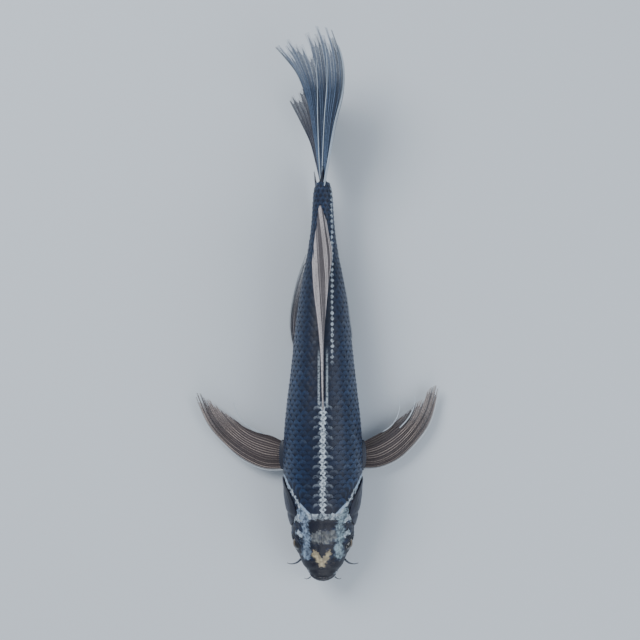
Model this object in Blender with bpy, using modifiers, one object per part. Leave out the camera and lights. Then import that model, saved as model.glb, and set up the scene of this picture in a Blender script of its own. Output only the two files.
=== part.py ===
"""An articulated long-finned carp: skin shells over rib frames on a hinged spine, with a moving jaw, gill covers,
eyes, barbels and rayed fins.

The fish lies along Y with its snout towards -Y and rests on the flat of its belly at Z = 0. All sizes are in
millimetres and become metres where a mesh is made. "Station" is the distance behind the snout.
"""

import math

import bmesh
import bpy
from mathutils import Matrix, Vector

MM = 0.001
ORIGIN_STATION = 150.0  # the frame's origin lies this far behind the snout, on the belly
GAP = 0.4  # between pieces that touch
WALL = 1.4  # skin shells
SIDES = 24  # facets round the body

# The body's shape: station, half width, height of the back, height of the belly. A belly below 0 is cut flat at 0.
BODY_STATIONS = (
    (0.0, 6.0, 38.0, 28.0),
    (8.0, 14.5, 45.5, 23.0),
    (20.0, 22.5, 53.0, 17.5),
    (44.0, 31.0, 65.0, 10.0),
    (70.0, 37.0, 76.0, 5.0),
    (102.0, 42.0, 87.5, -1.5),
    (140.0, 42.8, 96.0, -4.5),
    (180.0, 40.5, 98.0, -3.2),
    (240.0, 33.7, 92.5, -1.5),
    (290.0, 28.3, 85.5, 7.0),
    (330.0, 22.5, 79.0, 20.0),
    (360.0, 16.5, 73.5, 29.0),
    (393.0, 12.0, 68.5, 35.0),
    (430.0, 9.5, 67.0, 36.5),
)
WAIST = 0.52  # where the body is widest, as a share of its height
FULLNESS = 0.92  # exponent of the section: 1 is an ellipse

# Where the skin is divided, and the joints between the divisions.
NAPE = 78.0
BEND_STATIONS = (186.0, 335.0, 380.0, 424.0)
BEND_NAMES = ("shoulder", "hip", "stem", "tail")
BEND_GAPS = (13.0, 9.0, 6.0, 4.0)  # length of narrower neck behind each joint
NECK_INSET = 3.2  # how much narrower the neck is

# The spine: square links that end in a tongue and a fork round a vertical pin.
SPINE_HEIGHT = 54.0
SPINE_WIDTH = 7.0
SPINE_DEPTH = 10.0
SPINE_FRONT = 50.0
TONGUE_THICK = 3.6
EAR_REACH = 4.6
SHOULDER_REACH = 7.4
PIN_RADIUS = 1.4
PIN_CLEARANCE = 0.3

FRAME_THICK = 2.0
FRAME_RIM = 4.0
FRAME_WEB = 3.0
WINDOW_LEAST = 20.0  # half width above which a frame is pierced by four windows
FRAME_STATIONS = {
    "front": (118.5, 162.0),
    "mid": (214.0, 262.0, 310.0),
    "rear": (358.0,),
    "stem": (404.0,),
}

# Head.
BLADDER_CENTRE = (0.0, 238.0, 34.0)
BLADDER_RADIUS = 10.5
BLADDER_STRETCH = 1.9
MOUTH_STATION = 7.0
JAW_BACK = 40.0
JAW_BACK_GAP = 4.0  # room behind the jaw to tip down
JAW_SIDE_GAP = 4.0  # degrees between the jaw's edges and the head shell's
JAW_WALL = 2.2
JAW_ANGLES = (-154.0, -26.0)
LIP_RADIUS = 2.6
JAW_PIN = (33.0, 22.0)  # station and height
YOKE_WIDTH = 9.0
EYE_CENTRE = (24.6, 44.0, 47.0)
EYE_RADIUS = 8.2
EYE_RING_WALL = 1.6
GILL_CENTRE = (89.0, 43.0)  # station and height
GILL_RADII = (26.0, 28.0)
GILL_ARCH_INSET = 11.0

# Paired fins.
FIN_HINGE_X = BODY_STATIONS[6][1] - 0.8  # the breast fins' flap hinges, at the widest part of the body
FIN_ROOT_REACH = 16.0  # from a fin's vertical pin to its flap hinge
FIN_ROOT = (FIN_HINGE_X - FIN_ROOT_REACH, 135.0, 16.0)  # the vertical pin of a breast fin
FIN_EDGE_X = FIN_HINGE_X + 2.4  # where the rays start, clear of the hinge
BACK_CLEARANCE = 1.8  # between the back and the dorsal fin's root
FIN_ROOT_BALL = 5.2
FIN_SLOT = (18.0, 7.5)  # half length and half height of the slot that the fin's root sweeps in
FIN_HINGE_RADIUS = 1.6
FIN_HINGE_HALF = 13.0
MEMBRANE_THICK = 0.8
RAY_THICK = 1.0
RAY_LIFT = 1.3  # ray centres above the membrane's centre
PELVIC_PIN = (19.0, 228.0, 3.2)  # distance from the middle, station and height
BARBEL_ROOT = (25.2, 21.0, 27.0)


# ---------------------------------------------------------------- small tools


def clear_scene():
    for obj in list(bpy.data.objects):
        bpy.data.objects.remove(obj)


def place(x, station, z):
    """A point in metres from a sideways distance, a station and a height in millimetres."""
    return Vector((x, station - ORIGIN_STATION, z)) * MM


def station_value(station, column):
    """One column of BODY_STATIONS at any station, along a smooth curve through the rows."""
    rows = BODY_STATIONS
    station = min(max(station, rows[0][0]), rows[-1][0])
    last = len(rows) - 2
    i = max(k for k in range(last + 1) if rows[k][0] <= station)
    before, start, end, after = rows[max(i - 1, 0)], rows[i], rows[i + 1], rows[min(i + 2, last + 1)]
    length = end[0] - start[0]
    share = (station - start[0]) / length
    slope_in = (end[column] - before[column]) / (end[0] - before[0]) * length
    slope_out = (after[column] - start[column]) / (after[0] - start[0]) * length
    s2, s3 = share**2, share**3
    return (
        (2 * s3 - 3 * s2 + 1) * start[column]
        + (s3 - 2 * s2 + share) * slope_in
        + (3 * s2 - 2 * s3) * end[column]
        + (s3 - s2) * slope_out
    )


def skin_point(station, degrees, inset=0.0):
    """A point in metres on the body, or inset below its surface. 0 degrees is the +X side and 90 the back."""
    half, back, belly = (station_value(station, column) for column in (1, 2, 3))
    waist = belly + WAIST * (back - belly)
    cosine, sine = math.cos(math.radians(degrees)), math.sin(math.radians(degrees))
    x = (half - inset) * math.copysign(abs(cosine) ** FULLNESS, cosine)
    rise = (back - waist if sine > 0 else waist - belly) - inset
    z = waist + rise * math.copysign(abs(sine) ** FULLNESS, sine)
    return place(x, station, max(z, inset))


def through(points, share):
    """A point on the smooth curve through points, which share runs along from 0 to 1."""
    pieces = len(points) - 1
    i = min(int(share * pieces), pieces - 1)
    f = share * pieces - i
    a, b, c, d = (Vector(points[min(max(k, 0), pieces)]) for k in (i - 1, i, i + 1, i + 2))
    return 0.5 * (2 * b + (c - a) * f + (2 * a - 5 * b + 4 * c - d) * f**2 + (3 * b - a - 3 * c + d) * f**3)


def keep(obj, material, parent=None):
    """Puts a finished piece in the carp's collection, with its material and the empty that carries its joint."""
    for collection in list(obj.users_collection):
        collection.objects.unlink(obj)
    carp.objects.link(obj)
    obj.data.materials.clear()
    obj.data.materials.append(materials[material])
    if parent:
        obj.parent = parent
        obj.matrix_parent_inverse = parent.matrix_world.inverted()
    return obj


def from_bmesh(name, bm, smooth=True):
    mesh = bpy.data.meshes.new(name)
    bm.to_mesh(mesh)
    bm.free()
    if smooth:
        mesh.shade_smooth()
        mesh.set_sharp_from_angle(angle=math.radians(40))
    obj = bpy.data.objects.new(name, mesh)
    bpy.context.scene.collection.objects.link(obj)
    return obj


def settle(obj):
    """Applies an object's modifiers and transform, so that its mesh is what it shows."""
    bpy.context.view_layer.update()
    graph = bpy.context.evaluated_depsgraph_get()
    mesh = bpy.data.meshes.new_from_object(obj.evaluated_get(graph))
    mesh.transform(obj.matrix_world)
    name = obj.name
    bpy.data.objects.remove(obj)
    bm = bmesh.new()
    bm.from_mesh(mesh)
    bmesh.ops.remove_doubles(bm, verts=bm.verts, dist=1e-6)
    bm.to_mesh(mesh)
    bm.free()
    plain = bpy.data.objects.new(name, mesh)
    bpy.context.scene.collection.objects.link(plain)
    return plain


def combine(obj, tool, operation="DIFFERENCE"):
    """Cuts obj with tool, or joins or crosses them, and uses the tool up."""
    name = obj.name
    boolean = obj.modifiers.new("cut", "BOOLEAN")
    boolean.operation = operation
    boolean.object = tool
    done = settle(obj)
    bpy.data.objects.remove(tool)
    done.name = name
    return done


def box(name, low, high):
    """A box between two corners, each a sideways distance, a station and a height."""
    bm = bmesh.new()
    low, high = place(*low), place(*high)
    size = Matrix.Diagonal((*(high - low), 1))
    bmesh.ops.create_cube(bm, size=1, matrix=Matrix.Translation((low + high) / 2) @ size)
    return from_bmesh(name, bm, smooth=False)


def rod(name, centre, radius, length, axis="Z", sides=16, tall=None):
    """A cylinder about a row axis. tall stretches its section: along Z on an X rod."""
    turn = {"X": Matrix.Rotation(math.pi / 2, 4, "Y"), "Z": Matrix.Identity(4)}[axis]
    stretch = Matrix.Diagonal((1, 1, (tall or radius) / radius, 1)) if axis == "X" else Matrix.Identity(4)
    bm = bmesh.new()
    bmesh.ops.create_cone(
        bm,
        cap_ends=True,
        segments=sides,
        radius1=radius * MM,
        radius2=radius * MM,
        depth=length * MM,
        matrix=Matrix.Translation(place(*centre)) @ stretch @ turn,
    )
    return from_bmesh(name, bm)


def ball(name, centre, radius, segments=16):
    bm = bmesh.new()
    bmesh.ops.create_uvsphere(
        bm,
        u_segments=segments,
        v_segments=segments // 2,
        radius=radius * MM,
        matrix=Matrix.Translation(place(*centre)),
    )
    return from_bmesh(name, bm)


def thicken(obj, thick, offset):
    solid = obj.modifiers.new("thickness", "SOLIDIFY")
    solid.thickness = thick * MM
    solid.offset = offset
    solid.use_even_offset = True
    return settle(obj)


def mapped_grid(columns, rows, point):
    """A grid whose corners are moved to point(column, row)."""
    bm = bmesh.new()
    bmesh.ops.create_grid(bm, x_segments=columns, y_segments=rows, size=0.5)
    for vert in bm.verts:
        column = round((vert.co.x + 0.5) * columns)
        row = round((vert.co.y + 0.5) * rows)
        vert.co = point(column, row)
        vert.index = column * (rows + 1) + row
    return bm


def body_panel(name, stations, angles, inset=0.0, wall=WALL):
    """A curved shell of the body's skin over the given stations and angles. A whole turn closes into a tube."""
    whole = angles[-1] - angles[0] == 360
    bm = mapped_grid(
        len(angles) - 1,
        len(stations) - 1,
        lambda column, row: skin_point(stations[row], angles[column], inset),
    )
    if whole:
        bmesh.ops.remove_doubles(bm, verts=bm.verts, dist=1e-7)
    bmesh.ops.reverse_faces(bm, faces=bm.faces)
    return thicken(from_bmesh(name, bm), wall, -1)


def spread(start, end, count):
    """count + 1 values from start to end."""
    return [start + (end - start) * i / count for i in range(count + 1)]


TURN = spread(-180.0, 180.0, SIDES)


def tube(name, start, end, rings, inset=0.0):
    return body_panel(name, spread(start, end, rings), TURN, inset)


def pivot(name, x, station, z, parent=None):
    """An empty on a joint's axis, which carries the pieces that move about it, and is itself carried by its parent."""
    empty = bpy.data.objects.new(name, None)
    empty.location = place(x, station, z)
    empty.empty_display_size = 0.01
    carp.objects.link(empty)
    if parent:
        empty.parent = parent
        empty.matrix_parent_inverse = parent.matrix_world.inverted()
    bpy.context.view_layer.update()
    return empty


def front_shells():
    """The head shell and the front trunk skin, open at the mouth, the eyes, the gills and the breast fins."""
    jaw_low, jaw_high = JAW_ANGLES
    side_angles = spread(jaw_high, jaw_low + 360, 17)
    under_angles = spread(jaw_low, jaw_high, 9)[1:]
    whole = side_angles + [angle + 360 for angle in under_angles]
    stations = spread(MOUTH_STATION, JAW_BACK, 5) + spread(JAW_BACK, NAPE - GAP / 2, 5)[1:]
    bm = mapped_grid(
        len(whole) - 1, len(stations) - 1, lambda column, row: skin_point(stations[row], whole[column])
    )
    jaw_back = place(0, JAW_BACK - 0.01, 0).y
    mouth = []
    for face in bm.faces:
        column = min(vert.index // len(stations) for vert in face.verts)
        if column >= len(side_angles) - 1 and min(vert.co.y for vert in face.verts) < jaw_back:
            mouth.append(face)
    bmesh.ops.delete(bm, geom=mouth, context="FACES")
    bmesh.ops.remove_doubles(bm, verts=bm.verts, dist=1e-7)
    bmesh.ops.reverse_faces(bm, faces=bm.faces)
    head = thicken(from_bmesh("head_shell", bm), WALL, -1)
    trunk = tube("front_skin", NAPE + GAP / 2, BEND_STATIONS[0], 8)
    for side in (1, -1):
        head = combine(head, gill_plug(side, 0))
        trunk = combine(trunk, gill_plug(side, 0))
        eye_x, eye_station, eye_z = EYE_CENTRE
        ring = EYE_RADIUS + EYE_RING_WALL + 2 * GAP
        head = combine(head, rod("cutter", (side * (eye_x + 8), eye_station, eye_z), ring, 24, "X", 24))
        root_x, root_station, root_z = FIN_ROOT
        slot_centre = (side * (root_x + 4), root_station, root_z)
        trunk = combine(trunk, rod("cutter", slot_centre, FIN_SLOT[0], 24, "X", 24, tall=FIN_SLOT[1]))
    keep(head, "head")
    keep(trunk, "skin")


def gill_plug(side, clearance):
    """The oval plug that cuts a gill opening, or, made smaller, trims its cover."""
    station, height = GILL_CENTRE
    along, tall = (radius - clearance for radius in GILL_RADII)
    return rod("cutter", (side * 36.0, station, height), along, 50.0, "X", 28, tall=tall)


def trunk_skins():
    """The skins behind the front one. Each starts in a narrower neck that turns inside the skin ahead of it."""
    names = ("mid_skin", "rear_skin", "stem_skin")
    for i, name in enumerate(names):
        start, end = BEND_STATIONS[i], BEND_STATIONS[i + 1]
        neck_end = start + BEND_GAPS[i]
        neck_inset = min(NECK_INSET, 0.12 * station_value(start, 1) + 1.0)
        neck = [start + 2.0, neck_end - 2.0]
        rings = [(s, neck_inset + WALL) for s in neck]
        rings += [(s, 0.0) for s in spread(neck_end, end, max(2, round((end - neck_end) / 22)))]
        bm = mapped_grid(
            SIDES, len(rings) - 1, lambda column, row: skin_point(rings[row][0], TURN[column], rings[row][1])
        )
        bmesh.ops.remove_doubles(bm, verts=bm.verts, dist=1e-7)
        bmesh.ops.reverse_faces(bm, faces=bm.faces)
        keep(thicken(from_bmesh(name, bm), WALL, -1), "skin", bends[i])


def spine_link(name, start, end, has_tongue, has_fork, parent=None):
    """A link of the spine from one pin to the next. The tongue is in front and the fork behind."""
    half, deep = SPINE_WIDTH / 2, SPINE_DEPTH / 2
    first = start + SHOULDER_REACH if has_tongue else start
    last = end + EAR_REACH if has_fork else end
    low, high = SPINE_HEIGHT - deep, SPINE_HEIGHT + deep
    link = box(name, (-half, first, low), (half, last, high))
    if has_tongue:
        thick = TONGUE_THICK / 2
        corner = (-half + 0.5, start - EAR_REACH, SPINE_HEIGHT - thick)
        tongue = box("tongue", corner, (half - 0.5, first + 2, SPINE_HEIGHT + thick))
        link = combine(link, tongue, "UNION")
    if has_fork:
        slot = TONGUE_THICK / 2 + GAP
        corner = (-half - 1, end - SHOULDER_REACH + 0.8, SPINE_HEIGHT - slot)
        link = combine(link, box("cutter", corner, (half + 1, last + 1, SPINE_HEIGHT + slot)))
    for station, wanted in ((start, has_tongue), (end, has_fork)):
        if wanted:
            hole = PIN_RADIUS + PIN_CLEARANCE
            link = combine(link, rod("cutter", (0, station, SPINE_HEIGHT), hole, SPINE_DEPTH + 4))
    return keep(link, "bone", parent)


def spine():
    """The links and their vertical pins. Each pin stays with the link ahead of it."""
    carriers = [None, bends[0], bends[1], bends[2], bends[3]]
    names = ("spine_front", "spine_mid", "spine_rear", "spine_stem")
    starts = (SPINE_FRONT, *BEND_STATIONS[:3])
    for i, name in enumerate(names):
        spine_link(name, starts[i], BEND_STATIONS[i], i > 0, True, carriers[i])
        pin = rod(f"{BEND_NAMES[i]}_pin", (0, BEND_STATIONS[i], SPINE_HEIGHT), PIN_RADIUS, SPINE_DEPTH + 1)
        keep(pin, "pin", carriers[i])


def rib_frame(name, station, parent):
    """A flat hoop that holds the skin out, with a cross web round the spine."""
    edge = WALL + GAP + 0.3
    outer = [skin_point(station, angle, edge) for angle in TURN[:-1]]
    windows = []
    roomy = station_value(station, 1) > WINDOW_LEAST
    for quarter in range(4) if roomy else ():
        start = 90.0 * quarter - 180
        arc = [skin_point(station, angle, edge + FRAME_RIM) for angle in spread(start + 5, start + 85, 5)]
        across = -1 if quarter in (0, 3) else 1
        upward = 1 if quarter >= 2 else -1
        web_x = FRAME_WEB / 2 + 2
        web_z = SPINE_HEIGHT * MM + upward * (SPINE_DEPTH / 2 + FRAME_WEB) * MM
        corner_x = across * (SPINE_WIDTH / 2 + FRAME_WEB) * MM
        inner = []
        for point in arc:
            x = across * max(abs(point.x), web_x * MM)
            z = max(point.z, web_z) if upward > 0 else min(point.z, web_z)
            inner.append(Vector((x, point.y, z)))
        windows.append(inner + [Vector((corner_x, arc[0].y, web_z))])
    curve = bpy.data.curves.new(name, "CURVE")
    curve.dimensions = "2D"
    curve.fill_mode = "BOTH"
    curve.extrude = FRAME_THICK / 2 * MM
    hole_x, hole_z = SPINE_WIDTH / 2 + GAP, SPINE_DEPTH / 2 + GAP
    slot = [
        Vector((x * hole_x * MM, 0, (SPINE_HEIGHT + z * hole_z) * MM)) for x, z in ((1, 1), (-1, 1), (-1, -1), (1, -1))
    ]
    for outline in (outer, slot, *windows):
        spline = curve.splines.new("POLY")
        spline.points.add(len(outline) - 1)
        for point, corner in zip(spline.points, outline):
            point.co = (corner.x, corner.z, 0, 1)
        spline.use_cyclic_u = True
    frame = bpy.data.objects.new(name, curve)
    frame.rotation_euler = (math.pi / 2, 0, 0)
    frame.location = place(0, station, 0)
    bpy.context.scene.collection.objects.link(frame)
    keep(settle(frame), "bone", parent)


def rib_frames():
    carriers = {"front": None, "mid": bends[0], "rear": bends[1], "stem": bends[2]}
    for part, stations in FRAME_STATIONS.items():
        for number, station in enumerate(stations, 1):
            rib_frame(f"rib_frame_{part}_{number}", station, carriers[part])


def swim_bladder():
    """The two-lobed float under the spine, in the roomy middle of the trunk."""
    bladder = ball("swim_bladder", BLADDER_CENTRE, BLADDER_RADIUS, 14)
    centre = Matrix.Translation(place(*BLADDER_CENTRE))
    bladder.data.transform(centre @ Matrix.Diagonal((1, BLADDER_STRETCH, 1, 1)) @ centre.inverted())
    keep(bladder, "bladder", bends[0])


# ---------------------------------------------------------------- head


def lip(name, angles, parent=None, lift=0.0):
    """A soft rounded lip that follows the rim of the mouth."""
    curve = bpy.data.curves.new(name, "CURVE")
    curve.dimensions = "3D"
    curve.bevel_depth = LIP_RADIUS * MM
    curve.bevel_resolution = 2
    curve.use_fill_caps = True
    spline = curve.splines.new("POLY")
    rim = [skin_point(MOUTH_STATION - LIP_RADIUS - GAP, angle, LIP_RADIUS / 2) for angle in angles]
    spline.points.add(len(rim) - 1)
    for point, at in zip(spline.points, rim):
        point.co = (at.x, at.y, at.z + lift * MM, 1)
    obj = bpy.data.objects.new(name, curve)
    bpy.context.scene.collection.objects.link(obj)
    keep(settle(obj), "lip", parent)


def jaw():
    """The lower jaw: a scoop that turns on a cross pin, which a yoke under the spine carries."""
    station, height = JAW_PIN
    low, high = JAW_ANGLES
    angles = spread(low + JAW_SIDE_GAP, high - JAW_SIDE_GAP, 9)
    scoop = body_panel("lower_jaw", spread(MOUTH_STATION, JAW_BACK - JAW_BACK_GAP, 5), angles, 0.0, JAW_WALL)
    hole = PIN_RADIUS + PIN_CLEARANCE
    scoop = combine(scoop, rod("cutter", (0, station, height), hole, 80, "X"))
    keep(scoop, "head", jaw_pivot)
    lip("lower_lip", spread(low + 12, high - 12, 8), jaw_pivot, lift=-0.6)
    reach = station_value(station, 1) - 3.0
    keep(rod("jaw_pin", (0, station, height), PIN_RADIUS, 2 * reach, "X"), "pin")
    half = YOKE_WIDTH / 2
    top = SPINE_HEIGHT - SPINE_DEPTH / 2 - GAP
    yoke = box("jaw_yoke", (-half, station - 4, height - 4), (half, station + 4, top + 6))
    foot = box("foot", (-half, station, top - 5), (half, SPINE_FRONT + 14, top))
    yoke = combine(yoke, foot, "UNION")
    keep(combine(yoke, rod("cutter", (0, station, height), hole, 40, "X")), "bone")


def eyes():
    """Each eye is a ball that turns in a ring set into the head shell."""
    x, station, z = EYE_CENTRE
    for side, word in ((1, "left"), (-1, "right")):
        eye = ball(f"eye_{word}", (side * x, station, z), EYE_RADIUS - GAP, 18)
        keep(eye, "eye", eye_pivots[word])
        ring_x = side * (x + 2.4)
        ring = rod(f"eye_ring_{word}", (ring_x, station, z), EYE_RADIUS + EYE_RING_WALL, 4.4, "X", 24)
        hole = rod("cutter", (ring_x, station, z), EYE_RADIUS + 0.2, 12, "X", 24)
        keep(combine(ring, hole), "head")


def gill_covers():
    """Each cover is a door in the side of the head, hinged along its front edge over four slotted gill arches."""
    station, _ = GILL_CENTRE
    along, _ = GILL_RADII
    for side, word in ((1, "left"), (-1, "right")):
        middle = 0 if side > 0 else 180
        angles = spread(middle - 75, middle + 75, 12)
        stations = spread(station - along - 3, station + along + 3, 8)
        cover = body_panel(f"gill_cover_{word}", stations, angles)
        cover = combine(cover, gill_plug(side, 2 * GAP), "INTERSECT")
        keep(cover, "gill", gill_pivots[word])
        bars = mapped_grid(
            7,
            8,
            lambda column, row: skin_point(
                station - 17 + 5.2 * column, middle + side * (-52 + 11 * row), GILL_ARCH_INSET
            ),
        )
        slots = []
        for face in bars.faces:
            column = min(vert.index // 9 for vert in face.verts)
            row = min(vert.index % 9 for vert in face.verts)
            if column % 2 == 1 and 0 < row < 7:
                slots.append(face)
        bmesh.ops.delete(bars, geom=slots, context="FACES")
        bmesh.ops.recalc_face_normals(bars, faces=bars.faces)
        arches = thicken(from_bmesh(f"gill_arches_{word}", bars), 2.0, 0)
        keep(arches, "gills")


def barbel(name, points, radius, parent=None):
    """A whisker: a tapered tube along a smooth curve."""
    curve = bpy.data.curves.new(name, "CURVE")
    curve.dimensions = "3D"
    curve.bevel_depth = radius * MM
    curve.bevel_resolution = 1
    curve.use_fill_caps = True
    spline = curve.splines.new("POLY")
    count = 8
    spline.points.add(count)
    for i, point in enumerate(spline.points):
        at = through(points, i / count)
        point.co = (*place(*at), 1)
        point.radius = 1 - 0.6 * i / count
    obj = bpy.data.objects.new(name, curve)
    bpy.context.scene.collection.objects.link(obj)
    keep(settle(obj), "lip", parent)


def barbels():
    """A long pair at the corners of the mouth, and a short pair on the upper lip."""
    for side, word in ((1, "left"), (-1, "right")):
        long_one = (BARBEL_ROOT, (30, 18, 23.5), (35, 16.5, 20), (40, 17, 17.5))
        short_one = ((14.6, 3.2, 35), (17.5, 1.8, 33), (20.5, 2.0, 30.5))
        flip = [(side * x, station, z) for x, station, z in long_one]
        barbel(f"barbel_{word}", flip, 1.1, barbel_pivots[word])
        barbel(f"lip_barbel_{word}", [(side * x, station, z) for x, station, z in short_one], 0.7)


# ---------------------------------------------------------------- fins


def ray_point(fin, across, along):
    """A point on a fin: across runs from its first ray to its last, and along from a ray's root to its tip."""
    root, middle, tip = (through(fin[part], across) for part in ("root", "middle", "tip"))
    near, mid, far = 2 * (along - 0.5) * (along - 1), 4 * along * (1 - along), 2 * along * (along - 0.5)
    return place(*(near * root + mid * middle + far * tip))


def fin_pieces(name, fin, parent, rays, side=1, steps=7):
    """A fin as two solids: the soft membrane, and the comb of stiff rays on its upper face."""

    def at(across, along):
        point = ray_point(fin, across, along)
        point.x *= side
        return point

    bm = mapped_grid(rays, steps, lambda column, row: at(column / rays, row / steps))
    if side < 0:
        bmesh.ops.reverse_faces(bm, faces=bm.faces)
    membrane = thicken(from_bmesh(f"{name}_membrane", bm), MEMBRANE_THICK, 0)
    keep(membrane, "membrane", parent)

    edges = []
    for ray in range(rays):
        centre = (ray + 0.5) / rays
        edges += [centre - 0.16 / rays, centre + 0.16 / rays]
    bm = mapped_grid(len(edges) - 1, steps, lambda column, row: at(edges[column], row / steps * 0.97 + 0.02))
    gaps = []
    for face in bm.faces:
        column = min(vert.index // (steps + 1) for vert in face.verts)
        row = min(vert.index % (steps + 1) for vert in face.verts)
        if column % 2 == 1 and row > 0:
            gaps.append(face)
    if side < 0:
        bmesh.ops.reverse_faces(bm, faces=bm.faces)
    bm.normal_update()
    for vert in bm.verts:
        vert.co += vert.normal * RAY_LIFT * MM * fin["ray_side"]
    bmesh.ops.delete(bm, geom=gaps, context="FACES")
    comb = thicken(from_bmesh(f"{name}_rays", bm), RAY_THICK, 0)
    keep(comb, "ray", parent)


# Fins as three curves each, in sideways distance, station and height: where the rays start, where they are halfway
# along, and where they end. ray_side says which face of the membrane carries the rays.
BREAST_FIN_LEFT = {
    "root": ((FIN_EDGE_X, 119, 16), (FIN_EDGE_X, 137, 16.5), (FIN_EDGE_X, 154, 16)),
    "middle": ((95, 139, 15), (88, 152, 18), (74, 163, 15)),
    "tip": ((131, 214, 9), (120, 211, 11), (108, 199, 12), (92, 196, 10)),
    "ray_side": -1,
}
BREAST_FIN_RIGHT = {
    "root": ((FIN_EDGE_X, 118, 16), (FIN_EDGE_X, 137, 16.5), (FIN_EDGE_X, 156, 16)),
    "middle": ((95, 135, 15), (87, 150, 18), (74, 163, 15)),
    "tip": ((145, 206, 9), (131, 204, 11), (116, 191, 12), (101, 193, 10)),
    "ray_side": -1,
}
PELVIC_FIN = {
    "root": ((20.5, 229, 2.8), (19, 233, 2.6), (17.5, 237, 2.4)),
    "middle": ((33, 266, 5), (27, 274, 4.2), (19.5, 276, 3.6)),
    "tip": ((24, 338, 11), (17, 330, 9), (12, 312, 7)),
    "ray_side": -1,
}
# The dorsal fin's rays: where each starts along the back, then its halfway point and its tip, as sideways distance,
# station and rise above the back at its root.
DORSAL_RAYS = (
    (192, (-5, 232, 11.6), (-12, 272, 15.6)),
    (238, (-7, 276, 14.3), (-14, 318, 20.3)),
    (284, (-6, 322, 12.6), (-11, 368, 17.6)),
    (330, (-4, 370, 9.0), (-5, 414, 12.0)),
)
DORSAL_FIN = {
    "root": tuple((0, station, station_value(station, 2) + BACK_CLEARANCE) for station, _, _ in DORSAL_RAYS),
    "middle": tuple((x, at, station_value(station, 2) + rise) for station, (x, at, rise), _ in DORSAL_RAYS),
    "tip": tuple((x, at, station_value(station, 2) + rise) for station, _, (x, at, rise) in DORSAL_RAYS),
    "ray_side": 1,
}
ANAL_FIN = {
    "root": ((0, 331, 18.6), (0, 340, 21.2), (0, 349, 23.6)),
    "middle": ((1, 351, 9), (0, 372, 14), (0, 384, 21)),
    "tip": ((3, 384, 5), (2, 410, 8), (0, 426, 17)),
    "ray_side": 1,
}
TAIL_FIN_UPPER = {
    "root": ((0, 433, 66), (0, 434.5, 59), (0, 434.5, 52.6)),
    "middle": ((17, 512, 92), (6, 515, 78), (-6, 505, 60)),
    "tip": ((9, 598, 104), (-14, 600, 96), (-50, 584, 84), (-33, 552, 70)),
    "ray_side": 1,
}
TAIL_FIN_LOWER = {
    "root": ((0, 434.5, 51.0), (0, 434.5, 44.5), (0, 433, 37.6)),
    "middle": ((5, 492, 46), (-6, 492, 33), (-14, 484, 22)),
    "tip": ((16, 556, 40), (-18, 552, 26), (-38, 538, 12)),
    "ray_side": 1,
}


def breast_fins():
    """Each breast fin flaps on a bar at the end of a root lobe, and the lobe swings on an upright pin in the body."""
    x, station, z = FIN_ROOT
    for side, word, fin in ((1, "left", BREAST_FIN_LEFT), (-1, "right", BREAST_FIN_RIGHT)):
        lobe = bmesh.new()
        bmesh.ops.create_uvsphere(
            lobe,
            u_segments=14,
            v_segments=8,
            radius=FIN_ROOT_BALL * MM,
            matrix=Matrix.Translation(place(side * x, station, z)),
        )
        bar = Matrix.Translation(place(side * FIN_HINGE_X, station, z)) @ Matrix.Rotation(math.pi / 2, 4, "X")
        bmesh.ops.create_cone(
            lobe,
            cap_ends=True,
            segments=10,
            radius1=FIN_HINGE_RADIUS * MM,
            radius2=FIN_HINGE_RADIUS * MM,
            depth=2 * FIN_HINGE_HALF * MM,
            matrix=bar,
        )
        bmesh.ops.delete(lobe, geom=lobe.edges[:], context="EDGES_FACES")
        bmesh.ops.convex_hull(lobe, input=lobe.verts)
        bmesh.ops.delete(lobe, geom=[vert for vert in lobe.verts if not vert.link_faces], context="VERTS")
        bmesh.ops.recalc_face_normals(lobe, faces=lobe.faces)
        root = from_bmesh(f"fin_root_{word}", lobe)
        hole = rod("cutter", (side * x, station, z), PIN_RADIUS + PIN_CLEARANCE, 30)
        keep(combine(root, hole), "skin", root_pivots[word])
        pin = rod(f"fin_root_pin_{word}", (side * x, station, z), PIN_RADIUS, 2 * FIN_ROOT_BALL + 1.5)
        keep(pin, "pin")
        fin_pieces(f"breast_fin_{word}", fin, breast_pivots[word], 8, side)


def other_fins():
    for side, word in ((1, "left"), (-1, "right")):
        fin_pieces(f"pelvic_fin_{word}", PELVIC_FIN, pelvic_pivots[word], 5, side, 6)
    fin_pieces("dorsal_fin", DORSAL_FIN, dorsal_pivot, 9)
    fin_pieces("anal_fin", ANAL_FIN, anal_pivot, 5, steps=5)
    fin_pieces("tail_fin_upper", TAIL_FIN_UPPER, bends[3], 8)
    fin_pieces("tail_fin_lower", TAIL_FIN_LOWER, bends[3], 6)


def tail_plate():
    """The last link of the spine: a tongue that widens into the upright plate the tail's rays spring from."""
    joint = BEND_STATIONS[3]
    half = 2.2
    plate = box("tail_plate", (-half, joint + 6.4, 38.5), (half, joint + 8.6, 65.0))
    thick = TONGUE_THICK / 2
    width = SPINE_WIDTH / 2 - 0.5
    corner = (-width, joint - EAR_REACH, SPINE_HEIGHT - thick)
    tongue = box("tongue", corner, (width, joint + 7.0, SPINE_HEIGHT + thick))
    plate = combine(plate, tongue, "UNION")
    plate = combine(plate, rod("cutter", (0, joint, SPINE_HEIGHT), PIN_RADIUS + PIN_CLEARANCE, SPINE_DEPTH + 4))
    keep(plate, "bone", bends[3])


# ---------------------------------------------------------------- assembly


def make_material(name, colour, roughness, metallic=0.0):
    material = bpy.data.materials.new(name)
    material.use_nodes = True
    shader = material.node_tree.nodes["Principled BSDF"]
    shader.inputs["Base Color"].default_value = (*colour, 1)
    shader.inputs["Roughness"].default_value = roughness
    shader.inputs["Metallic"].default_value = metallic
    material.diffuse_color = (*colour, 1)
    return material


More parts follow.
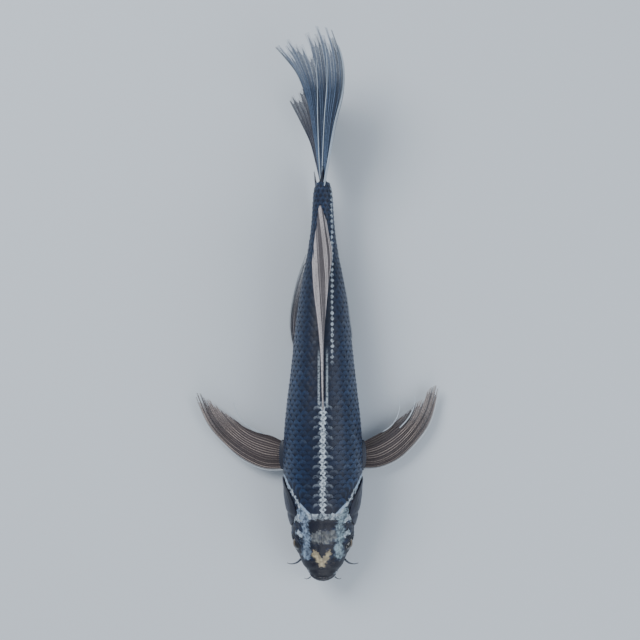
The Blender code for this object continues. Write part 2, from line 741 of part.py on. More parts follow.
clear_scene()
carp = bpy.data.collections.new("long_finned_carp")
bpy.context.scene.collection.children.link(carp)
materials = {
    "skin": make_material("skin", (0.05, 0.09, 0.16), 0.4),
    "head": make_material("head", (0.20, 0.26, 0.36), 0.4),
    "gill": make_material("gill_cover", (0.04, 0.07, 0.13), 0.35),
    "gills": make_material("gills", (0.45, 0.08, 0.08), 0.5),
    "lip": make_material("lip", (0.04, 0.04, 0.06), 0.45),
    "eye": make_material("eye", (0.02, 0.02, 0.03), 0.1),
    "ray": make_material("fin_ray", (0.40, 0.38, 0.38), 0.5),
    "membrane": make_material("fin_membrane", (0.09, 0.10, 0.15), 0.5),
    "bone": make_material("frame", (0.75, 0.73, 0.66), 0.6),
    "pin": make_material("pin", (0.55, 0.56, 0.58), 0.3, 1.0),
    "bladder": make_material("swim_bladder", (0.78, 0.74, 0.70), 0.4),
}
bends = []
for bend_name, bend_station in zip(BEND_NAMES, BEND_STATIONS):
    bends.append(pivot(f"{bend_name}_pivot", 0, bend_station, SPINE_HEIGHT, bends[-1] if bends else None))
jaw_pivot = pivot("jaw_pivot", 0, *JAW_PIN)
dorsal_pivot = pivot("dorsal_pivot", *DORSAL_FIN["root"][0], bends[0])
anal_pivot = pivot("anal_pivot", *ANAL_FIN["root"][0], bends[1])
sides = {"left": 1, "right": -1}
eye_pivots = {
    word: pivot(f"eye_{word}_pivot", side * EYE_CENTRE[0], *EYE_CENTRE[1:]) for word, side in sides.items()
}
gill_front = GILL_CENTRE[0] - GILL_RADII[0]
gill_pivots = {
    word: pivot(f"gill_{word}_pivot", side * (station_value(gill_front, 1) + 0.4), gill_front, GILL_CENTRE[1])
    for word, side in sides.items()
}
barbel_pivots = {
    word: pivot(f"barbel_{word}_pivot", side * BARBEL_ROOT[0], *BARBEL_ROOT[1:]) for word, side in sides.items()
}
root_pivots = {
    word: pivot(f"fin_root_{word}_pivot", side * FIN_ROOT[0], *FIN_ROOT[1:]) for word, side in sides.items()
}
breast_pivots = {
    word: pivot(f"breast_fin_{word}_pivot", side * FIN_HINGE_X, *FIN_ROOT[1:], root_pivots[word])
    for word, side in sides.items()
}
pelvic_pivots = {
    word: pivot(f"pelvic_fin_{word}_pivot", side * PELVIC_PIN[0], *PELVIC_PIN[1:], bends[0])
    for word, side in sides.items()
}
front_shells()
trunk_skins()
spine()
tail_plate()
rib_frames()
swim_bladder()
lip("upper_lip", spread(14, 166, 10))
jaw()
eyes()
gill_covers()
barbels()
breast_fins()
other_fins()
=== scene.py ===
"""A long-finned carp resting on its belly: scaled skin over a jointed body, and long fine-rayed fins."""

from __future__ import annotations

import logging
import math
from dataclasses import dataclass
from enum import Enum
from typing import Callable, ClassVar, Sequence

import bmesh
import bpy
from mathutils import Matrix, Vector, noise


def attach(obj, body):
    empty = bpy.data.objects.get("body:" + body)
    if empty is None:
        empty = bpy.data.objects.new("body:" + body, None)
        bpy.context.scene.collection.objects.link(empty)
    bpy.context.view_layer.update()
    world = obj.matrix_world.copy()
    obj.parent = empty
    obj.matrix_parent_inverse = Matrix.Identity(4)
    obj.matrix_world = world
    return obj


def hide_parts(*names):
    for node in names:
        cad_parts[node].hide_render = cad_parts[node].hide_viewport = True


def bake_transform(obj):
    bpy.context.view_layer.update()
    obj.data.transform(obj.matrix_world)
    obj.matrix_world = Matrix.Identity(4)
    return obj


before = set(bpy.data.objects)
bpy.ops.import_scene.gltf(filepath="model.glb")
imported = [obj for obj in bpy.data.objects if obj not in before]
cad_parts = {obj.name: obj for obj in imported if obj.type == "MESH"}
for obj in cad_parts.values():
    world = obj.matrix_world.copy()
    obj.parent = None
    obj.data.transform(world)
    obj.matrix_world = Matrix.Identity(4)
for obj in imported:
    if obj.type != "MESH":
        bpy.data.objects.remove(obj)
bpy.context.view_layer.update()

LOG = logging.getLogger("carp")
MM = 0.001
SNOUT_AHEAD = 150.0  # the frame's origin lies this many millimetres behind the snout
SIDES = {"left": 1, "right": -1}
EYE = (24.6, 44.0, 47.0)  # the left eye's distance from the middle, station and height
SPINE_HEIGHT = 54.0
BREAST_HINGE = (135.0, 16.0)  # station and height of the hinges that the breast fins turn on

Row = tuple[float, ...]
Where = Callable[[float, float], Vector]


# ---------------------------------------------------------------- measures


def place(x: float, station: float, height: float) -> Vector:
    """Turn millimetres from the middle, from the snout and from the floor into a point.

    Args:
        x: Distance towards the fish's left.
        station: Distance behind the snout.
        height: Distance above the floor.

    Returns:
        The point in metres, in the CAD frame.
    """
    return Vector((x, station - SNOUT_AHEAD, height)) * MM


def measures(point: Vector) -> Vector:
    """Return a point's distance from the middle, station and height in millimetres."""
    return Vector((point.x / MM, point.y / MM + SNOUT_AHEAD, point.z / MM))


def srgb(red: int, green: int, blue: int) -> tuple[float, float, float, float]:
    """Return the linear colour of an ordinary 0 to 255 screen colour."""
    parts = (value / 255.0 for value in (red, green, blue))
    return (*((p / 12.92 if p < 0.04045 else ((p + 0.055) / 1.055) ** 2.4) for p in parts), 1.0)


def ease(value: float, low: float, high: float) -> float:
    """Return a smooth step of value from 0 at low to 1 at high."""
    share = min(max((value - low) / (high - low), 0.0), 1.0)
    return share * share * (3.0 - 2.0 * share)


def wobble(seed: float, along: float = 0.0, spread: float = 1.0) -> float:
    """Return a repeatable smooth random number between about -1 and 1."""
    return noise.noise(Vector((seed * 7.31 + 0.17, along * spread, seed * 1.93 + 4.4)))


def curve_at(points: Sequence[Vector], share: float) -> Vector:
    """Find a point on the smooth curve through some points.

    Args:
        points: The points it passes through.
        share: Where along it, from 0 to 1.

    Returns:
        The point there.
    """
    pieces = len(points) - 1
    i = min(max(int(share * pieces), 0), pieces - 1)
    f = share * pieces - i
    a, b, c, d = (points[min(max(k, 0), pieces)] for k in (i - 1, i, i + 1, i + 2))
    return 0.5 * (2 * b + (c - a) * f + (2 * a - 5 * b + 4 * c - d) * f**2 + (3 * b - a - 3 * c + d) * f**3)


@dataclass(frozen=True)
class BodyForm:
    """The fish's body as sections along its length: station, half width, back height and belly height."""

    rows: tuple[Row, ...] = (
        (0.0, 6.0, 38.0, 28.0),
        (8.0, 14.5, 45.5, 23.0),
        (20.0, 22.5, 53.0, 17.5),
        (44.0, 31.0, 65.0, 10.0),
        (70.0, 37.0, 76.0, 5.0),
        (102.0, 42.0, 87.5, -1.5),
        (140.0, 42.8, 96.0, -4.5),
        (180.0, 40.5, 98.0, -3.2),
        (240.0, 33.7, 92.5, -1.5),
        (290.0, 28.3, 85.5, 7.0),
        (330.0, 22.5, 79.0, 20.0),
        (360.0, 16.5, 73.5, 29.0),
        (393.0, 12.0, 68.5, 35.0),
        (430.0, 9.5, 67.0, 36.5),
        (437.0, 7.4, 66.4, 36.9),
        (445.0, 4.3, 67.0, 36.4),
        (453.0, 2.2, 68.6, 35.0),
        (460.0, 1.0, 71.0, 33.0),
    )
    waist: float = 0.52
    fullness: float = 0.92

    def value(self, station: float, column: int) -> float:
        """Return one column of the rows at any station."""
        rows = self.rows
        station = min(max(station, rows[0][0]), rows[-1][0])
        last = len(rows) - 2
        i = max(k for k in range(last + 1) if rows[k][0] <= station)
        before, start, end, after = rows[max(i - 1, 0)], rows[i], rows[i + 1], rows[min(i + 2, last + 1)]
        length = end[0] - start[0]
        f = (station - start[0]) / length
        lean_in = (end[column] - before[column]) / (end[0] - before[0]) * length
        lean_out = (after[column] - start[column]) / (after[0] - start[0]) * length
        rise = (2 * f**3 - 3 * f**2 + 1) * start[column] + (3 * f**2 - 2 * f**3) * end[column]
        return rise + (f**3 - 2 * f**2 + f) * lean_in + (f**3 - f**2) * lean_out

    def point(self, station: float, degrees: float, lift: float = 0.0) -> Vector:
        """Find a point on the skin.

        Args:
            station: Distance behind the snout, in millimetres.
            degrees: Way round the body: 0 is its left side and 90 its back.
            lift: Height above the skin, in millimetres.

        Returns:
            The point in metres.
        """
        half, back, belly = (self.value(station, column) for column in (1, 2, 3))
        middle = belly + self.waist * (back - belly)
        cosine, sine = math.cos(math.radians(degrees)), math.sin(math.radians(degrees))
        x = (half + lift) * math.copysign(abs(cosine) ** self.fullness, cosine)
        rise = (back - middle if sine > 0 else middle - belly) + lift
        height = middle + rise * math.copysign(abs(sine) ** self.fullness, sine)
        return place(x, station, max(height, 0.35 - min(lift, 0.3)))


BODY = BodyForm()


# ---------------------------------------------------------------- bench tools


class Bench:
    """The few ways in which every piece of the fish is shaped and made into an object."""

    @staticmethod
    def grid(columns: int, rows: int, where: Where, closed: bool = False) -> bmesh.types.BMesh:
        """Shape a flat grid into a curved surface with its own UV map.

        Args:
            columns: Faces across.
            rows: Faces along.
            where: Gives the place of a point from its shares across and along.
            closed: Whether the first and last columns meet.

        Returns:
            The shaped mesh.
        """
        bm = bmesh.new()
        bmesh.ops.create_grid(bm, x_segments=columns, y_segments=rows, size=0.5)
        uv = bm.loops.layers.uv.new("surface")
        for face in bm.faces:
            for loop in face.loops:
                loop[uv].uv = (loop.vert.co.x + 0.5, loop.vert.co.y + 0.5)
        for vert in bm.verts:
            vert.co = where(vert.co.x + 0.5, vert.co.y + 0.5)
        if closed:
            bmesh.ops.remove_doubles(bm, verts=bm.verts, dist=1e-6)
        return bm

    @staticmethod
    def tube(path: Sequence[Vector], radii: Sequence[float], sides: int = 6) -> bmesh.types.BMesh:
        """Shape a closed tapering tube.

        Args:
            path: Its middle line, in metres.
            radii: Its radius at each point of the path, in millimetres.
            sides: Faces round it.

        Returns:
            The tube, closed at both ends.
        """
        last = len(path) - 1
        frames = []
        for i, point in enumerate(path):
            ahead = (path[min(i + 1, last)] - path[max(i - 1, 0)]).normalized()
            across = ahead.cross(Vector((0.03, 0.02, 1.0))).normalized()
            frames.append((point, across, ahead.cross(across)))

        def where(u: float, v: float) -> Vector:
            """Place a point of the tube."""
            row = round(v * last)
            point, across, over = frames[row]
            turn = 2 * math.pi * u
            return point + (across * math.cos(turn) + over * math.sin(turn)) * radii[row] * MM

        bm = Bench.grid(sides, last, where, closed=True)
        bmesh.ops.holes_fill(bm, edges=[edge for edge in bm.edges if edge.is_boundary], sides=sides)
        bmesh.ops.recalc_face_normals(bm, faces=bm.faces)
        return bm

    @staticmethod
    def toned() -> bmesh.types.BMesh:
        """Start a mesh that gathers parts with a UV map and a tone of three numbers on each point."""
        bm = bmesh.new()
        bm.loops.layers.uv.new("surface")
        bm.verts.layers.float_vector.new("tone")
        return bm

    @staticmethod
    def gather(target: bmesh.types.BMesh, part: bmesh.types.BMesh) -> None:
        """Move a part's mesh into the target and free the part."""
        mesh = bpy.data.meshes.new("part")
        part.to_mesh(mesh)
        part.free()
        target.from_mesh(mesh)
        bpy.data.meshes.remove(mesh)

    @staticmethod
    def wall(piece: bpy.types.Object, thickness: float) -> None:
        """Give an open surface a wall below it, in millimetres, which closes its rim."""
        solidify = piece.modifiers.new("wall", "SOLIDIFY")
        solidify.thickness = thickness * MM
        solidify.offset = -1.0
        solidify.use_even_offset = False
        graph = bpy.context.evaluated_depsgraph_get()
        shaped = piece.evaluated_get(graph)
        walled = bpy.data.meshes.new_from_object(shaped, preserve_all_data_layers=True, depsgraph=graph)
        open_mesh = piece.data
        piece.modifiers.clear()
        piece.data = walled
        bpy.data.meshes.remove(open_mesh)

    @staticmethod
    def turn_out(bm: bmesh.types.BMesh, outward: Callable[[bmesh.types.BMFace], float]) -> None:
        """Point all the faces of an open surface the same way.

        Args:
            bm: The mesh.
            outward: Tells how far a face points outwards. Its sum over the faces ends up above 0.
        """
        bmesh.ops.recalc_face_normals(bm, faces=bm.faces)
        if sum(outward(face) for face in bm.faces) < 0:
            bmesh.ops.reverse_faces(bm, faces=bm.faces)

    @staticmethod
    def oval_hole(
        bm: bmesh.types.BMesh, side: int, centre: tuple[float, float], radii: tuple[float, float]
    ) -> None:
        """Open an oval hole in the skin, seen from one side of the fish.

        Args:
            bm: The skin's mesh.
            side: 1 for the fish's left and -1 for its right.
            centre: Station and height of the hole's middle.
            radii: Half its length and half its height.
        """

        def reach(point: Vector) -> tuple[float, float, float]:
            """Return a point's offsets from the middle, and its distance as a share of the oval's."""
            _, station, height = measures(point)
            along, up = station - centre[0], height - centre[1]
            return along, up, math.hypot(along / radii[0], up / radii[1])

        inside = [
            face
            for face in bm.faces
            if face.calc_center_median().x * side > 0 and reach(face.calc_center_median())[2] < 1.0
        ]
        bmesh.ops.delete(bm, geom=inside, context="FACES")
        for vert in bm.verts:
            if vert.is_boundary and vert.co.x * side > 0:
                along, up, share = reach(vert.co)
                if 0.85 < share < 1.15:
                    vert.co.y += along * (1 / share - 1) * MM
                    vert.co.z += up * (1 / share - 1) * MM

    @staticmethod
    def finish(
        name: str,
        bm: bmesh.types.BMesh,
        surface: "Surface",
        slot: str,
        angle: float = 60.0,
        wall: float = 0.0,
    ) -> bpy.types.Object:
        """Make a named object of a mesh, with its rest places stored for its pattern.

        Args:
            name: The piece's name.
            bm: Its mesh, which is freed.
            surface: Its finish.
            slot: The record's material slot that it stands for. Not used.
            angle: Edges sharper than this, in degrees, stay sharp.
            wall: Thickness of the wall that an open surface gets, in millimetres.

        Returns:
            The object, at the origin.
        """
        rest = bm.verts.layers.float_vector.get("rest") or bm.verts.layers.float_vector.new("rest")
        for vert in bm.verts:
            vert[rest] = measures(vert.co)
        mesh = bpy.data.meshes.new(name)
        bm.to_mesh(mesh)
        bm.free()
        mesh.shade_smooth()
        mesh.set_sharp_from_angle(angle=math.radians(angle))
        mesh.materials.append(surface.material)
        piece = bpy.data.objects.new(name, mesh)
        bpy.context.scene.collection.objects.link(piece)
        if wall:
            Bench.wall(piece, wall)
        LOG.info("%s: %d faces", name, len(piece.data.polygons))
        return piece


# ---------------------------------------------------------------- shader tools


class Signal:
    """A shader socket that can be used in sums."""

    def __init__(self, tree: bpy.types.NodeTree, socket: bpy.types.NodeSocket) -> None:
        """Keep the socket and the tree that it is in."""
        self.tree = tree
        self.socket = socket

    def _maths(self, operation: str, first: "Signal | float", second: "Signal | float" = 0.0) -> "Signal":
        """Add one Math node and return its result."""
        node = self.tree.nodes.new("ShaderNodeMath")
        node.operation = operation
        for socket, value in zip(node.inputs, (first, second)):
            if isinstance(value, Signal):
                self.tree.links.new(value.socket, socket)
            else:
                socket.default_value = value
        return Signal(self.tree, node.outputs[0])

    def __add__(self, other: "Signal | float") -> "Signal":
        """Return the sum."""
        return self._maths("ADD", self, other)

    __radd__ = __add__

    def __sub__(self, other: "Signal | float") -> "Signal":
        """Return the difference."""
        return self._maths("SUBTRACT", self, other)

    def __rsub__(self, other: float) -> "Signal":
        """Return the difference from a number."""
        return self._maths("SUBTRACT", other, self)

    def __mul__(self, other: "Signal | float") -> "Signal":
        """Return the product."""
        return self._maths("MULTIPLY", self, other)

    __rmul__ = __mul__

    def __truediv__(self, other: "Signal | float") -> "Signal":
        """Return the quotient."""
        return self._maths("DIVIDE", self, other)

    def __pow__(self, other: float) -> "Signal":
        """Return the power."""
        return self._maths("POWER", self, other)

    def __abs__(self) -> "Signal":
        """Return the size without its sign."""
        return self._maths("ABSOLUTE", self)

    def __or__(self, other: "Signal | float") -> "Signal":
        """Return the larger of the two."""
        return self._maths("MAXIMUM", self, other)

    def __and__(self, other: "Signal | float") -> "Signal":
        """Return the smaller of the two."""
        return self._maths("MINIMUM", self, other)

    def sine(self) -> "Signal":
        """Return the sine."""
        return self._maths("SINE", self)

    def step(self, low: float, high: float) -> "Signal":
        """Return a smooth step, 0 at low and 1 at high. Low may be the larger one."""
        node = self.tree.nodes.new("ShaderNodeMapRange")
        node.interpolation_type = "SMOOTHSTEP"
        self.tree.links.new(self.socket, node.inputs["Value"])
        turned = low > high
        node.inputs["From Min"].default_value = min(low, high)
        node.inputs["From Max"].default_value = max(low, high)
        node.inputs["To Min"].default_value = 1.0 if turned else 0.0
        node.inputs["To Max"].default_value = 0.0 if turned else 1.0
        return Signal(self.tree, node.outputs["Result"])


class Texture(Enum):
    """The procedural textures that the finishes use."""

    NOISE = "ShaderNodeTexNoise"
    CELLS = "ShaderNodeTexVoronoi"


@dataclass(frozen=True)
class Gloss:
    """What is the same all over a finish."""

    roughness: float = 0.45
    metallic: float = 0.0
    coat: float = 0.0
    coat_roughness: float = 0.15
    specular: float = 0.5
    subsurface: float = 0.0


class Surface:
    """One material: a Principled shader and the sums that feed it."""

    def __init__(self, name: str, gloss: Gloss, local: bool = True) -> None:
        """Start a material.

        Args:
            name: Its name.
            gloss: Its constant values.
            local: Whether its pattern reads the rest places stored on the piece, or else Object coordinates.
        """
        self.material = bpy.data.materials.new(name)
        self.material.use_nodes = True
        self.tree = self.material.node_tree
        self.shader = self.tree.nodes["Principled BSDF"]
        for socket, value in (
            ("Roughness", gloss.roughness),
            ("Metallic", gloss.metallic),
            ("Coat Weight", gloss.coat),
            ("Coat Roughness", gloss.coat_roughness),
            ("Specular IOR Level", gloss.specular),
            ("Subsurface Weight", gloss.subsurface),
        ):
            self.shader.inputs[socket].default_value = value
        self.shader.inputs["Subsurface Scale"].default_value = 0.002
        if local:
            self.rest = self.node("ShaderNodeAttribute", {"attribute_name": "rest"}, output="Vector")
        else:
            sockets = {"Vector": self.node("ShaderNodeTexCoord", output="Object"), "Scale": 1 / MM}
            self.rest = self.node("ShaderNodeVectorMath", {"operation": "SCALE"}, sockets, "Vector")
        self.x, self.station, self.height = self.parts(self.rest)

    def node(
        self, kind: str, settings: dict | None = None, sockets: dict | None = None, output: str | int = 0
    ) -> Signal:
        """Add any node.

        Args:
            kind: The node's type.
            settings: Its properties, which are set first.
            sockets: Values or signals for its inputs.
            output: Which output to return.

        Returns:
            The chosen output.
        """
        node = self.tree.nodes.new(kind)
        for key, value in (settings or {}).items():
            setattr(node, key, value)
        for key, value in (sockets or {}).items():
            if isinstance(value, Signal):
                self.tree.links.new(value.socket, node.inputs[key])
            else:
                node.inputs[key].default_value = value
        return Signal(self.tree, node.outputs[output])

    def parts(self, vector: Signal) -> tuple[Signal, Signal, Signal]:
        """Return a vector's three numbers."""
        node = self.node("ShaderNodeSeparateXYZ", sockets={"Vector": vector}).socket.node
        return tuple(Signal(self.tree, output) for output in node.outputs)

    def texture(self, kind: Texture, scale: float, detail: float = 3.0, stretch: Row = (1, 1, 1)) -> Signal:
        """Return a texture's value on the rest places, with its scale in patches a millimetre."""
        factors = {0: self.rest, 1: stretch}
        spot = self.node("ShaderNodeVectorMath", {"operation": "MULTIPLY"}, factors, "Vector")
        sockets = {"Vector": spot, "Scale": scale}
        if kind is Texture.NOISE:
            return self.node(kind.value, None, sockets | {"Detail": detail}, "Fac")
        return self.node(kind.value, {"feature": "DISTANCE_TO_EDGE"}, sockets, "Distance")

    def uv(self) -> tuple[Signal, Signal]:
        """Return the shares across and along the piece's own UV map."""
        across, along, _ = self.parts(self.node("ShaderNodeUVMap", {"uv_map": "surface"}))
        return across, along

    def note(self, name: str) -> tuple[Signal, Signal, Signal]:
        """Return the three numbers of an attribute stored on the piece."""
        return self.parts(self.node("ShaderNodeAttribute", {"attribute_name": name}, output="Vector"))

    def mix(self, factor: Signal | float, first: Signal | Row, second: Signal | Row) -> Signal:
        """Return the first colour where factor is 0 and the second where it is 1."""
        node = self.tree.nodes.new("ShaderNodeMix")
        node.data_type = "RGBA"
        for socket, value in ((node.inputs[0], factor), (node.inputs[6], first), (node.inputs[7], second)):
            if isinstance(value, Signal):
                self.tree.links.new(value.socket, socket)
            else:
                socket.default_value = value
        return Signal(self.tree, node.outputs[2])

    def paint(self, **sockets: Signal) -> None:
        """Feed the shader: colour, roughness, alpha, or bump, whose height is in millimetres."""
        names = {"colour": "Base Color", "roughness": "Roughness", "alpha": "Alpha"}
        for key, value in sockets.items():
            if key == "bump":
                value = self.node("ShaderNodeBump", None, {"Height": value, "Strength": 1.0, "Distance": MM})
                self.tree.links.new(value.socket, self.shader.inputs["Normal"])
            else:
                self.tree.links.new(value.socket, self.shader.inputs[names[key]])

    def blotch(
        self, centre: tuple[float, float], radii: tuple[float, float], soft: float = 0.35, both: bool = False
    ) -> Signal:
        """Mask an oval patch of skin as seen from above.

        Args:
            centre: Distance from the middle, and station.
            radii: Its half width and half length, in millimetres.
            soft: Share of the radius over which its edge fades.
            both: Whether it lies on both sides of the fish.

        Returns:
            1 inside the patch and 0 outside.
        """
        x = abs(self.drift_x) if both else self.drift_x
        across = (x - centre[0]) / radii[0]
        along = (self.drift_station - centre[1]) / radii[1]
        return (across * across + along * along).step(1 + soft, 1 - soft)

    def stroke(
        self, start: tuple[float, float], end: tuple[float, float], width: float, both: bool = True
    ) -> Signal:
        """Mask a straight streak of skin as seen from above.

        Args:
            start: Distance from the middle and station of one end.
            end: The same of the other end.
            width: Half its width, in millimetres.
            both: Whether it lies on both sides of the fish.

        Returns:
            1 on the streak and 0 off it.
        """
        run = Vector((end[0] - start[0], end[1] - start[1]))
        length = run.length
        run /= length
        x = (abs(self.drift_x) if both else self.drift_x) - start[0]
        along = self.drift_station - start[1]
        forth = x * run.x + along * run.y
        aside = abs(x * run.y - along * run.x)
        past = ((forth - length) | (forth * -1.0)) | 0.0
        return (aside + past).step(width * 1.45, width * 0.5)

    def shoulder_line(self) -> Signal:
        """Mask the pale line that runs from the skull down behind each gill cover."""
        return self.stroke((15, 79), (28, 92), 1.7) | self.stroke((28, 92), (43, 120), 1.1)

    def drift(self, amount: float, scale: float) -> None:
        """Make the patches' edges wander by an amount in millimetres."""
        self.drift_x = self.x + (self.texture(Texture.NOISE, scale, 5.0) - 0.5) * (2 * amount)
        shifted = self.texture(Texture.NOISE, scale * 1.13, 5.0, stretch=(1.0, 1.3, 1.7))
        self.drift_station = self.station + (shifted - 0.5) * (2 * amount)


# ---------------------------------------------------------------- finishes


@dataclass(frozen=True)
class Coat:
    """The fish's colours."""

    ink: Row = srgb(12, 19, 38)
    slate: Row = srgb(20, 36, 66)
    steel: Row = srgb(54, 89, 136)
    pale: Row = srgb(158, 180, 206)
    white: Row = srgb(206, 220, 232)
    cream: Row = srgb(190, 176, 142)
    bone: Row = srgb(124, 128, 130)


COAT = Coat()


class ScaleFinish(Surface):
    """Overlapping scales: dark at the root, partly their own colour and partly a painted shadow of the scale
    above, with a steel-blue crescent, a painted highlight along their rims, and pale beads along the back.
    """

    bead_pitch: float = 5.9  # millimetres from bead to bead
    row_aside: float = 10.0  # how far the second row of beads lies to the fish's left
    groove: float = 4.4  # how far the pale edges of the dorsal fin's groove lie from the middle

    def __init__(self) -> None:
        """Make the material."""
        super().__init__("scaled_skin", Gloss(roughness=0.42, coat=0.2, coat_roughness=0.24, specular=0.32))
        self.drift(1.5, 0.12)
        across, along = self.uv()
        # the tone holds the scale's chance shade, the strength of the painted highlight on its rim, and its
        # side-line pore
        chance, pale, pore = self.note("tone")
        side = (across - 0.5) * 2.0
        outward = ((side * side * 0.55) + along * along) ** 0.5
        flank = abs(self.x).step(6.0, 34.0) | self.station.step(290.0, 400.0) * 0.75
        crescent = outward.step(0.52, 0.8) * outward.step(1.06, 0.93)
        rings = (outward * 95.0).sine() * 0.5 + 0.5
        speck = self.texture(Texture.NOISE, 0.9, 4.0)
        light = crescent * (0.1 + flank * 0.6) * (0.3 + chance * 0.7) * speck.step(0.25, 0.7)
        # Painted shadow: each scale stays dark, ink to slate, towards its root, partly its own colour and
        # partly the shadow of the scale that overlaps it; the steel crescent lies towards its rim.
        colour = self.mix(light, self.mix(chance * 0.5, COAT.ink, COAT.slate), COAT.steel)
        cloud = self.texture(Texture.NOISE, 0.035, 2.0)
        colour = self.mix(cloud.step(0.5, 0.75) * 0.25, colour, COAT.slate)
        # Painted highlight: a broken white line along each scale's rim, strongest on the scales along the
        # back.
        broken = self.texture(Texture.NOISE, 0.5, 4.0).step(0.34, 0.5)
        rim = outward.step(0.68, 0.86) * broken * abs(side).step(0.95, 0.45)
        colour = self.mix((rim * pale * 0.42) & 1.0, colour, COAT.white)
        colour = self.mix(self.back_marks(), colour, COAT.white)
        colour = self.mix(self.shoulder_line() * self.height.step(24, 40), colour, COAT.pale)
        dash = pore * abs(side).step(0.3, 0.12) * along.step(0.35, 0.5) * along.step(1.0, 0.85)
        colour = self.mix(dash * 0.85, colour, COAT.ink)
        belly = (self.height + speck * 16.0).step(34.0, 12.0)
        colour = self.mix(belly * (0.35 + crescent * 0.5), colour, COAT.pale)
        self.paint(
            colour=colour,
            roughness=0.52 - crescent * 0.16 + speck * 0.12,
            bump=rings * 0.05 + speck * 0.12 - outward * 0.06,
        )

    def back_marks(self) -> Signal:
        """Mask the beads before the dorsal fin, its groove's pale edges, and the beads beside it."""
        patchy = self.texture(Texture.NOISE, 0.5, 6.0).step(0.36, 0.56)
        pulse = (self.station * (math.tau / self.bead_pitch)).sine()
        bead = pulse + 2.1 + patchy * 0.5
        dimple = pulse.step(0.2, 0.9) * (abs(self.drift_x) - 0.6).step(0.9, 0.1)
        chain = (abs(self.drift_x) - bead).step(0.7, -0.5) * self.station.step(204.0, 192.0)
        below = self.height + self.station * 0.135 - 122.3  # how far below the ridge of the back
        row = (abs(self.drift_x - self.row_aside) - bead * 0.9 + 1.5).step(0.6, -0.4)
        row = row * self.station.step(236.0, 256.0) * below.step(-9.5, -5.5)
        edges = (abs(abs(self.x) - self.groove) - 0.3).step(1.4, 0.2)
        edges = edges * self.station.step(192.0, 204.0) * self.station.step(262.0, 246.0)
        marks = chain * (1.0 - dimple * 0.6) | edges * 0.65 | row * 0.8
        return marks * (0.22 + patchy * 0.66) * self.height.step(36.0, 50.0)


class HideFinish(Surface):
    """The dark skin below the scales, with a fine grain, and pale under the belly."""

    def __init__(self, name: str = "hide", tint: Row = COAT.ink, belly: float = 0.6) -> None:
        """Make the material.

        Args:
            name: Its name.
            tint: Its main colour.
            belly: How pale it is low down.
        """
        super().__init__(name, Gloss(roughness=0.45, coat=0.2, coat_roughness=0.25, specular=0.35))
        grain = self.texture(Texture.NOISE, 1.4, 5.0)
        cloud = self.texture(Texture.NOISE, 0.09, 3.0)
        colour = self.mix(cloud.step(0.4, 0.7) * 0.6, tint, COAT.slate)
        colour = self.mix((self.height + grain * 14.0).step(32.0, 10.0) * belly, colour, COAT.pale)
        self.paint(colour=colour, roughness=0.38 + grain * 0.2, bump=grain * 0.22 + cloud * 0.1)


